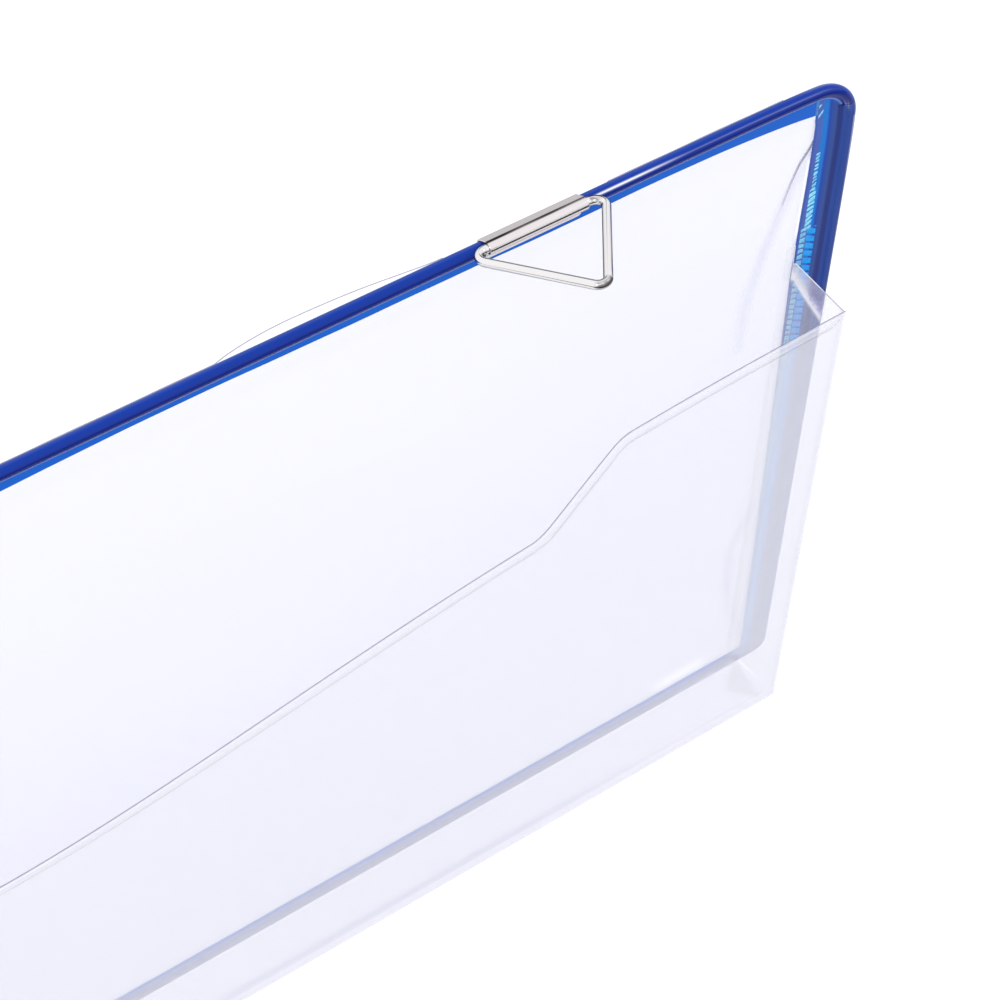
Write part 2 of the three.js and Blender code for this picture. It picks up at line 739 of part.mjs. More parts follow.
const organizer = new THREE.Group();
const frameGroup = new THREE.Group();
frameGroup.add(
  piece("frame_wire", frameWire(), steel),
  piece("border_top", borderTop(), blueVinyl),
  piece("border_bottom", borderBottom(), blueVinyl),
);
const pocketGroup = new THREE.Group();
pocketGroup.add(
  piece("back_panel", backPanel(), clearVinyl),
  piece("pocket_front", pocketFront(), clearVinyl),
  piece("pocket_bottom_gusset", pocketFloor(), clearVinyl),
);
const hangerGroup = new THREE.Group();
for (const [word, side] of [
  ["left", -1],
  ["right", 1],
]) {
  frameGroup.add(piece(`border_${word}`, borderSide(side), blueVinyl));
  pocketGroup.add(
    piece(`pocket_side_gusset_${word}`, pocketSideGusset(side), clearVinyl),
    piece(`pocket_corner_tuck_${word}`, pocketCornerTuck(side), clearVinyl),
  );
  hangerGroup.add(
    piece(`clip_${word}`, clip((side * clipPitch) / 2), satinNickel),
    piece(`ring_${word}`, ring((side * clipPitch) / 2), nickel),
  );
}
organizer.add(frameGroup, pocketGroup, hangerGroup);

export default organizer;
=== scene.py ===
"""The looks of a clear landscape file pocket for a wall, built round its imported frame.

The pocket hangs upright: X runs to the right, Y to the back and Z up, in metres. Its blue edge binding, clear
film, folded clips and triangular rings are surfaces worked out with numpy, and each piece rides on the body
that carries it.
"""

import logging
import math
from dataclasses import dataclass, field
from enum import Enum
from typing import Callable, Sequence

import bmesh
import bpy
import numpy as np
from mathutils import Matrix


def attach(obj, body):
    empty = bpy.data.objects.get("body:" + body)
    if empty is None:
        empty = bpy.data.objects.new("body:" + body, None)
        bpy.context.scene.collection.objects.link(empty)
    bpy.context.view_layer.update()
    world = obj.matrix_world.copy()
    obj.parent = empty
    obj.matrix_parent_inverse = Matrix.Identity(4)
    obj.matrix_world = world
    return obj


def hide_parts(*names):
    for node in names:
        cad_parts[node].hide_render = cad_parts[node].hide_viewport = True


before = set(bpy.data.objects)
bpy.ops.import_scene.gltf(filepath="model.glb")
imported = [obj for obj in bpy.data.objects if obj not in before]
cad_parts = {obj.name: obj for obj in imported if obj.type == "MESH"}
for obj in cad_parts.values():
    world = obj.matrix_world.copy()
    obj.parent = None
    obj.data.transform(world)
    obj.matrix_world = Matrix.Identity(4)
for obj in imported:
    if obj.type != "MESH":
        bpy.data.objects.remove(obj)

log = logging.getLogger("file_pocket")
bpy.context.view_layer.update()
MM = 0.001
SHARP_ANGLE = math.radians(40)
WELD_DISTANCE = 2e-7
WHITE = (1.0, 1.0, 1.0)
BLACK = (0.0, 0.0, 0.0)
Array = np.ndarray
Colour = tuple[float, float, float]
Span = tuple[float, float]
Point = tuple[float, float, float]
Band = tuple[float, Colour]
Values = dict[str, Array]


class Side(Enum):
    """The two ends of the pocket, as the sign of X."""

    LEFT = -1
    RIGHT = 1

    @property
    def word(self) -> str:
        """The side's word in a node's name."""
        return self.name.lower()


class Edge(Enum):
    """The long runs of the edge binding."""

    TOP = "top"
    BOTTOM = "bottom"


@dataclass(frozen=True)
class FrameSizes:
    """The bound wire frame's sizes, in metres, measured from the wire's axis."""

    half_width: float = 169 * MM
    height: float = 226 * MM
    top_corner: float = 9.5 * MM
    bottom_corner: float = 3.5 * MM
    bead: float = 1.5 * MM
    bore: float = 1.1 * MM
    wire: float = 1.0 * MM
    ply: float = 0.4 * MM
    joint_gap: float = 0.05 * MM
    top_leg: float = 0.4 * MM
    bottom_leg: float = 6 * MM
    top_depth: float = 4.0 * MM
    top_end_depth: float = 6.4 * MM
    top_flare: int = 8
    side_depth: float = 10.5 * MM
    side_top_depth: float = 9.3 * MM
    side_bottom_depth: float = 7.5 * MM
    side_taper: float = 50 * MM
    side_lap: float = 0.3 * MM
    bottom_depth: float = 3.4 * MM
    flange_start: float = 1.15 * MM
    side_flange_start: float = 1.235 * MM
    hollow: float = 0.9 * MM
    tooth_groove: float = 0.1 * MM
    lap_groove: float = 0.04 * MM
    turned_bead: float = 6.3 * MM

    def bend_drop(self, x: Array) -> Array:
        """How far the top wire's axis lies below its straight run at x, on the arc of a top corner."""
        beyond = np.clip(np.abs(x) - self.half_width + self.top_corner, 0, self.top_corner)
        return self.top_corner - np.sqrt(self.top_corner**2 - beyond**2)

    def inside_bend(self, z: Array, radius: float) -> Array:
        """The greatest |x| at height z on an arc of this radius about a top corner's centre."""
        above = np.clip(z + self.top_corner, 0, radius)
        return self.half_width - self.top_corner + np.sqrt(radius**2 - above**2)


@dataclass(frozen=True)
class FilmSizes:
    """The clear film's sizes, in metres."""

    thickness: float = 0.3 * MM
    lay_gap: float = 0.06 * MM
    inset: float = 2.3 * MM
    corner: float = 3 * MM
    ramp_start: float = 5 * MM
    lip_height: float = 0.4 * MM
    flap_height: float = 3.2 * MM
    flap_start: float = 12 * MM
    flap_end: float = 62 * MM
    rim_end: float = 18 * MM


@dataclass(frozen=True)
class PocketSizes:
    """The gusseted pocket's sizes, in metres."""

    depth: float = 16 * MM
    front_inset: float = 6.3 * MM
    weld_inset: float = 9.8 * MM
    tab_width: float = 3.8 * MM
    tab_top: float = 47 * MM
    tab_corner: float = 1.2 * MM
    gusset_top: float = 53.5 * MM
    shoulder_drop: float = 58.5 * MM
    shoulder_fall: float = 1.9 * MM
    low_drop: float = 81 * MM
    tuck_reach: float = 9 * MM
    shoulder_length: float = 65 * MM
    slope_length: float = 22.5 * MM
    rounding: float = 3 * MM
    crease_drop: float = 2.4 * MM
    bulge: float = 16.7 * MM
    bulge_skew: float = 2.2
    bulge_rise: float = 1.8
    fold_gap: float = 0.35 * MM
    seam_gap: float = 0.05 * MM
    bend: float = 1.2 * MM


@dataclass(frozen=True)
class HangerSizes:
    """The clips' and rings' sizes, in metres."""

    pitch: float = 168 * MM
    clip_length: float = 24 * MM
    clip_edge: float = 0.12 * MM
    notch_room: float = 2 * MM
    sheet: float = 0.35 * MM
    fit: float = 0.1 * MM
    leg_reach: float = 2.8 * MM
    leg_corner: float = 1 * MM
    wire: float = 1 * MM
    base: float = 34.2 * MM
    height: float = 25.8 * MM
    base_bend: float = 2.4 * MM
    apex_bend: float = 2 * MM
    axis_distance: float = 2.9 * MM
    axis_elevation: float = math.radians(40)
    tilt: float = math.radians(10)


FRAME = FrameSizes()
FILM = FilmSizes()
POCKET = PocketSizes()
HANGER = HangerSizes()


@dataclass
class Patch:
    """A grid of points that is one stretch of a piece's surface.

    Args:
        points: the grid, of shape (rows, columns, 3).
        slot: the index of the piece's material on this stretch.
        wrap: True where the last column meets the first.
        values: numbers carried on the points, each of shape (rows, columns).
    """

    points: Array
    slot: int = 0
    wrap: bool = False
    values: Values = field(default_factory=dict)

    def faces(self, start: int) -> Array:
        """The grid's quads, as rows of four point numbers.

        Args:
            start: the number of the grid's first point in the whole piece.

        Returns:
            An array of shape (quads, 4).
        """
        rows, columns = self.points.shape[:2]
        number = start + np.arange(rows * columns).reshape(rows, columns)
        if self.wrap:
            number = np.concatenate([number, number[:, :1]], axis=1)
        corners = [number[:-1, :-1], number[:-1, 1:], number[1:, 1:], number[1:, :-1]]
        return np.stack([corner.ravel() for corner in corners], axis=1)


@dataclass(frozen=True)
class Role:
    """What a piece is in the model: the body that carries it, its finish's slot and its node."""

    body: str
    slot: str
    node: str


def build_piece(name: str, patches: list[Patch], materials: list[bpy.types.Material], role: Role) -> None:
    """Makes one closed piece of patches that meet at their borders.

    Args:
        name: the piece's name.
        patches: its surface.
        materials: its materials, by slot.
        role: what it is in the model.
    """
    names = sorted({key for patch in patches for key in patch.values})
    starts = np.cumsum([0] + [patch.points[..., 0].size for patch in patches])
    faces = np.concatenate([patch.faces(int(start)) for patch, start in zip(patches, starts)])
    slots = np.concatenate([np.full(len(patch.faces(0)), patch.slot) for patch in patches])
    points = np.concatenate([patch.points.reshape(-1, 3) for patch in patches])
    mesh = bpy.data.meshes.new(name)
    mesh.from_pydata(points, [], faces.tolist())
    mesh.polygons.foreach_set("material_index", slots.astype(np.int32))
    mesh.polygons.foreach_set("use_smooth", np.ones(len(faces), dtype=bool))
    for key in names:
        zeros = [patch.values.get(key, np.zeros(patch.points.shape[:2])).ravel() for patch in patches]
        mesh.attributes.new(key, "FLOAT", "POINT").data.foreach_set("value", np.concatenate(zeros))
    for material in materials:
        mesh.materials.append(material)
    weld(mesh)
    mesh.set_sharp_from_angle(angle=SHARP_ANGLE)
    piece = bpy.data.objects.new(name, mesh)
    bpy.context.scene.collection.objects.link(piece)
    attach(piece, role.body)
    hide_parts(role.node)
    log.info("%s: %d faces", name, len(mesh.polygons))


def weld(mesh: bpy.types.Mesh) -> None:
    """Joins a mesh's points that meet and turns every face outwards."""
    work = bmesh.new()
    work.from_mesh(mesh)
    bmesh.ops.remove_doubles(work, verts=work.verts, dist=WELD_DISTANCE)
    bmesh.ops.dissolve_degenerate(work, edges=work.edges, dist=WELD_DISTANCE / 10)
    bmesh.ops.recalc_face_normals(work, faces=work.faces)
    work.to_mesh(mesh)
    work.free()


def shell_patches(near: Array, far: Array, values: Values, lined: tuple[int, ...]) -> list[Patch]:
    """A thin sheet between two matching grids, with its cut edges on the second material.

    Args:
        near: one face's points, of shape (rows, columns, 3).
        far: the other face's points.
        values: numbers carried on both faces and the edges.
        lined: which borders show as cut edges: first column, last column, first row and last row.

    Returns:
        The two faces and the four cut edges.
    """
    turned = {key: value[:, ::-1] for key, value in values.items()}
    patches = [Patch(near, 0, False, values), Patch(far[:, ::-1], 0, False, turned)]
    whole = slice(None)
    for number, border in enumerate(((whole, 0), (whole, -1), (0, whole), (-1, whole))):
        edge = np.stack([near[border], far[border]], axis=0)
        carried = {key: np.stack([value[border]] * 2, axis=0) for key, value in values.items()}
        patches.append(Patch(edge, int(number in lined), False, carried))
    return patches


def smooth_step(low: float, high: float, value: Array) -> Array:
    """Rises from 0 at low to 1 at high along the cubic 3t^2 - 2t^3."""
    share = np.clip((value - low) / (high - low), 0, 1)
    return share * share * (3 - 2 * share)


def bell(value: Array, width: float) -> Array:
    """A Gaussian hump of height 1 at 0 that falls off over width."""
    return np.exp(-((value / width) ** 2))


def window(value: Array, rise: Span, fall: Span) -> Array:
    """Rises from 0 to 1 over one span of the value and falls back to 0 over another."""
    return smooth_step(*rise, value) * (1 - smooth_step(*fall, value))


@dataclass(frozen=True)
class Settling:
    """How the sprung wire pulls the frame's top corners in, in millimetres.

    A pull is a sum of bells, each with a height and a width, of the way from the top or from the side.
    """

    aside: tuple[Span, ...] = ((0.75, 10.0), (0.3, 35.0))
    lower: tuple[Span, ...] = ((0.6, 9.0), (0.45, 22.0))
    fade: Span = (12.0, 40.0)

    def pull(self, bells: tuple[Span, ...], near: Array, other: Array) -> Array:
        """The bells of one distance, faded out along the other."""
        total = sum(height * bell(near, width) for height, width in bells)
        return total * (1 - smooth_step(*self.fade, other))

    def settled(self, points: Array) -> Array:
        """Moves points in and down to where they come to lie.

        Args:
            points: the points before they settle, of any shape that ends in 3.

        Returns:
            The settled points.
        """
        inward, down = (FRAME.half_width - np.abs(points[..., 0])) / MM, -points[..., 2] / MM
        aside = self.pull(self.aside, down, inward)
        lower = self.pull(self.lower, inward, down)
        shift = np.stack([-np.sign(points[..., 0]) * aside, np.zeros_like(down), -lower], axis=-1)
        return points + shift * MM


SETTLING = Settling()


def cap(loop: Array, values: Values) -> Patch:
    """Closes a loop of points, of shape (columns, 3), with a patch whose second row is the loop's middle."""
    middle = np.broadcast_to(loop.mean(axis=0), loop.shape)
    carried = {key: np.stack([value, value]) for key, value in values.items()}
    return Patch(np.stack([loop, middle]), 0, True, carried)


def tube(place: Array, out: Array, radius: float, angle: Array) -> Array:
    """A round section carried along a path in the frame's plane, before the frame settles.

    A point of a section lies at place + r cos(a) out, and r sin(a) along Y, for the angle a round the path.

    Args:
        place: the path's points as (x, z), of shape (stations, 2).
        out: the direction away from the frame's middle at each station.
        radius: the section's radius.
        angle: the angles round the path.

    Returns:
        The points, of shape (stations, angles, 3).
    """
    flat = place[:, None, :] + radius * np.cos(angle)[None, :, None] * out[:, None, :]
    depth = np.broadcast_to(radius * np.sin(angle), flat.shape[:2])
    return np.stack([flat[..., 0], depth, flat[..., 1]], axis=-1)


# Shader parts that more than one material uses


class Wiring:
    """Adds and joins nodes in one tree.

    Args:
        tree: the material's or group's node tree.
    """

    def __init__(self, tree: bpy.types.NodeTree) -> None:
        self.tree = tree

    def add(self, kind: str, **settings: object) -> bpy.types.Node:
        """Adds a node and sets its properties."""
        node = self.tree.nodes.new(kind)
        for key, value in settings.items():
            setattr(node, key, value)
        return node

    def join(self, source: object, target: bpy.types.NodeSocket) -> None:
        """Feeds a socket from another socket, or sets it to a plain value."""
        if isinstance(source, bpy.types.NodeSocket):
            self.tree.links.new(source, target)
        else:
            target.default_value = source

    def maths(self, operation: str, *values: object, clamp: bool = False) -> bpy.types.NodeSocket:
        """A Math node over sockets or plain numbers.

        Args:
            operation: the node's operation.
            values: its inputs, in order.
            clamp: True to keep the result from 0 to 1.

        Returns:
            The node's output socket.
        """
        node = self.add("ShaderNodeMath", operation=operation, use_clamp=clamp)
        for value, target in zip(values, node.inputs):
            self.join(value, target)
        return node.outputs[0]

    def mix(self, factor: object, first: object, second: object) -> bpy.types.NodeSocket:
        """Mixes two colours, each a socket or a plain colour, and gives the result's socket."""
        node = self.add("ShaderNodeMix", data_type="RGBA")
        self.join(factor, node.inputs[0])
        for value, target in ((first, node.inputs[6]), (second, node.inputs[7])):
            self.join((*value, 1.0) if isinstance(value, tuple) else value, target)
        return node.outputs[2]

    def value(self, name: str) -> bpy.types.NodeSocket:
        """The number that a piece carries under this name."""
        return self.add("ShaderNodeAttribute", attribute_name=name).outputs["Fac"]

    def clamped(self, first: object, second: object) -> bpy.types.NodeSocket:
        """The product of two sockets or numbers, kept from 0 to 1."""
        return self.maths("MULTIPLY", first, second, clamp=True)

    def noise(self, scale: float, detail: float = 3.0, stretch: Colour = WHITE) -> bpy.types.NodeSocket:
        """Noise on the object's own coordinates.

        Args:
            scale: the noise's scale, per metre.
            detail: its octaves.
            stretch: how much faster it varies along each axis.

        Returns:
            The noise's value socket.
        """
        place = self.add("ShaderNodeTexCoord").outputs["Object"]
        turn = self.add("ShaderNodeMapping")
        turn.inputs["Scale"].default_value = stretch
        self.join(place, turn.inputs["Vector"])
        node = self.add("ShaderNodeTexNoise")
        node.inputs["Scale"].default_value = scale
        node.inputs["Detail"].default_value = detail
        self.join(turn.outputs[0], node.inputs["Vector"])
        return node.outputs["Fac"]

    def bump(self, height: object, strength: float, distance: float) -> bpy.types.NodeSocket:
        """The normal that a height gives."""
        node = self.add("ShaderNodeBump")
        node.inputs["Strength"].default_value = strength
        node.inputs["Distance"].default_value = distance
        self.join(height, node.inputs["Height"])
        return node.outputs[0]

    def ramp(self, factor: bpy.types.NodeSocket, stops: Sequence[Band]) -> bpy.types.NodeSocket:
        """A colour ramp through the given stops."""
        node = self.add("ShaderNodeValToRGB")
        elements = node.color_ramp.elements
        while len(elements) < len(stops):
            elements.new(0.5)
        for element, (place, colour) in zip(elements, stops):
            element.position = place
            element.color = (*colour, 1.0)
        self.join(factor, node.inputs[0])
        return node.outputs["Color"]


TEETH_INPUTS = ("Run", "Inset", "Pitch", "Slant", "Low", "High", "From", "To", "Share")
TOOTH_SHARPNESS = 14.0
TEETH_BORDER = 5.0


def weld_teeth_group() -> None:
    """Makes the node group for a row of slanted welded teeth between two insets and from one run to another.

    A tooth's phase is (run + slant x inset) / pitch; the mask is 1 on the tooth and 0 in the gap.
    """
    group = bpy.data.node_groups.new("weld_teeth", "ShaderNodeTree")
    for socket in TEETH_INPUTS:
        group.interface.new_socket(name=socket, in_out="INPUT", socket_type="NodeSocketFloat")
    group.interface.new_socket(name="Mask", in_out="OUTPUT", socket_type="NodeSocketFloat")
    wire = Wiring(group)
    source = wire.add("NodeGroupInput").outputs
    slanted = wire.maths("MULTIPLY_ADD", source["Inset"], source["Slant"], source["Run"])
    phase = wire.maths("FRACT", wire.maths("DIVIDE", slanted, source["Pitch"]))
    centred = wire.maths("ABSOLUTE", wire.maths("SUBTRACT", phase, 0.5))
    left = wire.maths("SUBTRACT", wire.maths("MULTIPLY", source["Share"], 0.5), centred)
    inside = wire.clamped(left, TOOTH_SHARPNESS)
    for value, low, high in (("Inset", "Low", "High"), ("Run", "From", "To")):
        above = wire.clamped(wire.maths("SUBTRACT", source[value], source[low]), TEETH_BORDER)
        below = wire.clamped(wire.maths("SUBTRACT", source[high], source[value]), TEETH_BORDER)
        inside = wire.maths("MULTIPLY", inside, wire.maths("MULTIPLY", above, below))
    wire.join(inside, wire.add("NodeGroupOutput").inputs["Mask"])


@dataclass(frozen=True)
class TeethRow:
    """One row of weld marks on a strip, in millimetres of run and inset."""

    pitch: float
    slant: float
    low: float
    high: float
    start: float
    end: float
    share: float
    colour: Colour
    strength: float


STRIP_SURFACE = {"Roughness": 0.16, "Specular_IOR_Level": 0.1, "Coat_Weight": 0.04, "Coat_Roughness": 0.05}


@dataclass(frozen=True)
class StripFinish:
    """Blue translucent vinyl: its colours across the strip and its weld marks, with painted light and shade
    round the bead and painted highlights along it.
    """

    bands: tuple[Band, ...]
    bead_shading: tuple[Band, ...]
    bend_bands: tuple[Band, ...] = ()
    rows: tuple[TeethRow, ...] = ()
    widest: float = 12.0
    bead_end: float = 0.9
    bend_end: float = 2.3
    smallest: float = 0.005
    cloud: float = 0.2
    stray: float = 1.8
    straying_pitch: float = 2.0
    # The colour of the bead's painted highlights.
    sheen: Colour = (0.93, 0.96, 1.0)

    def across(self, wire: Wiring, inset: object, bands: tuple[Band, ...]) -> bpy.types.NodeSocket:
        """The colour at an inset, ramped between bands that are given in millimetres."""
        place = wire.maths("DIVIDE", inset, self.widest, clamp=True)
        return wire.ramp(place, [(at / self.widest, shade) for at, shade in bands])

    def both(self, wire: Wiring, value: object, other: object, end: float) -> bpy.types.NodeSocket:
        """1 where the value is carried at all and the other number lies below its end."""
        carried = wire.maths("GREATER_THAN", value, self.smallest)
        return wire.maths("MULTIPLY", carried, wire.maths("LESS_THAN", other, end))

    def teeth(self, wire: Wiring, row: TeethRow, run: object, inset: object) -> tuple[object, object]:
        """One row of weld marks.

        Args:
            wire: the material's wiring.
            row: the marks.
            run: the socket of the distance along the strip.
            inset: the socket of the distance across it.

        Returns:
            The sockets of the marks and of their speckled colour's share.
        """
        node = wire.add("ShaderNodeGroup", node_tree=bpy.data.node_groups["weld_teeth"])
        settings = (run, inset, row.pitch, row.slant, row.low, row.high, row.start, row.end, row.share)
        for name, value in zip(TEETH_INPUTS, settings):
            wire.join(value, node.inputs[name])
        speck = wire.maths("MULTIPLY_ADD", wire.noise(900.0, 3.0), 1.5, 0.15, clamp=True)
        return node.outputs[0], wire.clamped(node.outputs[0], wire.maths("MULTIPLY", speck, row.strength))

    def material(self, name: str) -> bpy.types.Material:
        """Builds the finish under a name and gives the material."""
        material, wire, shader = principled(name, **STRIP_SURFACE)
        run, inset, turn = wire.value("run"), wire.value("inset"), wire.value("turn")
        colour = self.across(wire, inset, self.bands)
        if self.bend_bands:
            beside = wire.value("beside")
            on_bend = self.both(wire, beside, beside, self.bend_end)
            colour = wire.mix(on_bend, colour, self.across(wire, beside, self.bend_bands))
        # On the bead the colour follows its turn: painted light and shade round the bead.
        on_bead = self.both(wire, turn, inset, self.bead_end)
        colour = wire.mix(on_bead, colour, wire.ramp(turn, self.bead_shading))
        cloud = wire.maths("MULTIPLY", wire.noise(160.0, 4.0, (0.35, 1.0, 0.35)), self.cloud)
        colour = wire.mix(cloud, colour, self.bands[2][1])
        # Painted highlights along the bead, and a pale mottled patch near each top corner.
        colour = wire.mix(wire.value("sheen"), colour, self.sheen)
        height = wire.maths("MULTIPLY", wire.noise(260.0), 0.25)
        stray = wire.maths("SUBTRACT", wire.noise(620.0, 2.0), 0.5)
        strayed = wire.maths("MULTIPLY_ADD", stray, self.stray, run)
        for row in self.rows:
            marks, share = self.teeth(wire, row, strayed if row.pitch < self.straying_pitch else run, inset)
            colour = wire.mix(share, colour, row.colour)
            height = wire.maths("ADD", height, marks)
        wire.join(colour, shader.inputs["Base Color"])
        wire.join(wire.bump(height, 0.25, 0.08 * MM), shader.inputs["Normal"])
        return material


def principled(name: str, **settings: object) -> tuple[bpy.types.Material, Wiring, bpy.types.Node]:
    """Starts a material.

    Args:
        name: the material's name.
        settings: values of the Principled node's sockets, with _ for a space in the socket's name.

    Returns:
        The material, its wiring and its Principled node.
    """
    material = bpy.data.materials.new(name)
    material.use_nodes = True
    shader = material.node_tree.nodes["Principled BSDF"]
    for socket, value in settings.items():
        shader.inputs[socket.replace("_", " ")].default_value = value
    return material, Wiring(material.node_tree), shader


@dataclass(frozen=True)
class FilmFinish:
    """Clear vinyl film: a pale tint that thickens at a glancing look, in folds, in frosted bands and in painted
    highlight bands. The lavender of a fold is painted shade, the bright lines are painted highlights, and the
    dark lines painted shade, with a painted reflection of the blue strip on each gusset.
    """

    tint: Colour = (0.97, 0.975, 1.0)
    fold_shade: Colour = (0.60, 0.59, 0.86)
    clear: float = 0.08
    glancing: float = 0.42
    fold: float = 0.4
    haze: float = 0.35
    # How much a painted highlight line and a painted shade line thicken the film, and the painted shade's
    # colour.
    bright: float = 0.7
    dark: float = 0.5
    dark_tint: Colour = (0.20, 0.20, 0.28)
    densest: float = 0.95
    roughness: float = 0.07

    def material(self, name: str) -> bpy.types.Material:
        """Builds the finish under a name and gives the material."""
        material, wire, shader = principled(name)
        fold, frost, line = wire.value("fold"), wire.value("frost"), wire.value("line")
        # Folds take a painted lavender shade; bright lines are painted highlights and dark lines painted shade.
        colour = wire.mix(wire.clamped(fold, 0.8), self.tint, self.fold_shade)
        dark, bright = wire.clamped(line, -1.0), wire.clamped(line, 1.0)
        colour = wire.mix(dark, colour, self.dark_tint)
        colour = wire.mix(bright, colour, WHITE)
        weight = wire.add("ShaderNodeLayerWeight")
        weight.inputs["Blend"].default_value = 0.5
        alpha = wire.maths("MULTIPLY_ADD", weight.outputs["Facing"], self.glancing, self.clear)
        for mask, amount in ((fold, self.fold), (frost, self.haze), (bright, self.bright), (dark, self.dark)):
            alpha = wire.maths("MULTIPLY_ADD", mask, amount, alpha)
        alpha = wire.maths("MULTIPLY", alpha, wire.maths("SUBTRACT", 1.0, wire.value("bare"), clamp=True))
        alpha = wire.maths("MINIMUM", alpha, self.densest, clamp=True)
        rough = wire.maths("MULTIPLY_ADD", frost, 0.35, self.roughness, clamp=True)
        wire.join(colour, shader.inputs["Base Color"])
        wire.join(alpha, shader.inputs["Alpha"])
        wire.join(rough, shader.inputs["Roughness"])
        return material


@dataclass(frozen=True)
class FilmEdgeFinish:
    """The film's cut edge, which gathers light into a thin grey line, with a painted white highlight where it
    carries a glint.
    """

    tint: Colour = (0.24, 0.24, 0.33)
    pale_tint: Colour = (0.45, 0.45, 0.56)

    def material(self, name: str) -> bpy.types.Material:
        """Builds the finish under a name and gives the material."""
        material, wire, shader = principled(name, Alpha=0.85, Roughness=0.2)
        shade = wire.mix(wire.noise(300.0, 2.0), self.tint, self.pale_tint)
        # The glint is a painted highlight, mixed to white.
        wire.join(wire.mix(wire.value("glint"), shade, WHITE), shader.inputs["Base Color"])
        return material


@dataclass(frozen=True)
class NickelFinish:
    """Nickel plate over steel, with fine polishing marks along one axis and painted dark reflections where a
    piece carries them.
    """

    colour: Colour
    roughness: float
    grain: float
    stretch: Colour = (1.0, 40.0, 40.0)
    rim_tint: float = 0.6
    # The colour of the painted dark reflections.
    tarnish: Colour = (0.05, 0.045, 0.05)

    def material(self, name: str) -> bpy.types.Material:
        """Builds the finish under a name and gives the material."""
        rim_tint = (self.rim_tint, self.rim_tint, self.rim_tint, 1.0)
        material, wire, shader = principled(name, Metallic=1.0, Specular_Tint=rim_tint)
        marks = wire.noise(60.0, 4.0, self.stretch)
        rough = wire.maths("MULTIPLY_ADD", marks, self.grain, self.roughness)
        shade = wire.mix(wire.maths("MULTIPLY", marks, 0.3), self.colour, tuple(0.8 * c for c in self.colour))
        wire.join(wire.mix(wire.value("tarnish"), shade, self.tarnish), shader.inputs["Base Color"])
        wire.join(rough, shader.inputs["Roughness"])
        wire.join(wire.bump(marks, 0.08, 0.02 * MM), shader.inputs["Normal"])
        return material


BEAD: Colour = (0.006, 0.040, 0.36)
SIDE_BEAD: Colour = (0.032, 0.083, 0.34)
# Painted shade in the groove where the bead meets the flange.
CREASE_SHADE: Colour = (0.006, 0.024, 0.19)
SUB_BAND: Colour = (0.024, 0.078, 0.31)
AZURE: Colour = (0.0, 0.20, 0.67)
TOP_AZURE: Colour = (0.0, 0.135, 0.65)
MID_BLUE: Colour = (0.07, 0.14, 0.49)
# A painted highlight along the edge of the groove between the bead and the flange.
CREASE_HIGHLIGHT: Colour = (0.24, 0.28, 0.60)
TOOTH: Colour = (0.30, 0.84, 1.0)
WIDE_TOOTH: Colour = (0.008, 0.38, 0.92)

# Across the top strip: the bead, a painted shade in the groove, a painted highlight on the groove's edge, then
# the flange.
TOP_BANDS = (
    (0.0, BEAD),
    (0.9, BEAD),
    (1.5, (0.007, 0.02, 0.2)),
    (1.85, CREASE_HIGHLIGHT),
    (2.1, TOP_AZURE),
    (12.0, TOP_AZURE),
)
# Painted light and shade round the top bead, by its turn from the top at the back to the low front: lighter at
# the top, darker low at the front.
BEAD_SHADING = (
    (0.0, (0.07, 0.14, 0.46)),
    (0.24, (0.045, 0.10, 0.43)),
    (0.42, (0.006, 0.048, 0.40)),
    (0.56, (0.006, 0.045, 0.37)),
    (0.68, (0.012, 0.038, 0.29)),
    (0.8, (0.006, 0.018, 0.19)),
    (1.0, (0.006, 0.018, 0.17)),
)
# Painted light and shade round a side bead, by its turn from outwards to the front: pale painted highlight lines
# between darker painted shade lines.
SIDE_BEAD_SHADING = (
    (0.0, (0.05, 0.10, 0.38)),
    (0.45, (0.038, 0.09, 0.36)),
    (0.6, (0.024, 0.062, 0.28)),
    (0.72, (0.036, 0.085, 0.33)),
    (0.82, (0.02, 0.05, 0.25)),
    (0.92, (0.036, 0.085, 0.33)),
    (1.0, SIDE_BEAD),
)
SIDE_BANDS = (
    (0.0, SIDE_BEAD),
    (1.8, SIDE_BEAD),
    (2.4, CREASE_SHADE),
    (3.3, CREASE_SHADE),
    (4.0, SUB_BAND),
    (4.6, SUB_BAND),
    (5.8, (0.002, 0.055, 0.42)),
    (6.5, AZURE),
    (7.5, AZURE),
    (7.9, MID_BLUE),
    (12.0, MID_BLUE),
)
SIDE_ROWS = (
    TeethRow(3.1, -1.3, 7.8, 9.2, 3.4, 8.0, 0.36, TOOTH, 1.0),
    TeethRow(1.28, -0.35, 7.2, 8.5, 18.5, 31.0, 0.66, TOOTH, 0.95),
    TeethRow(1.6, -0.3, 6.8, 8.9, 30.5, 43.5, 0.78, TOOTH, 1.0),
    TeethRow(2.5, 0.6, 5.0, 7.9, 43.5, 221.0, 0.78, WIDE_TOOTH, 1.0),
    TeethRow(1.9, 0.4, 8.0, 9.8, 42.5, 221.0, 0.8, TOOTH, 0.7),
)


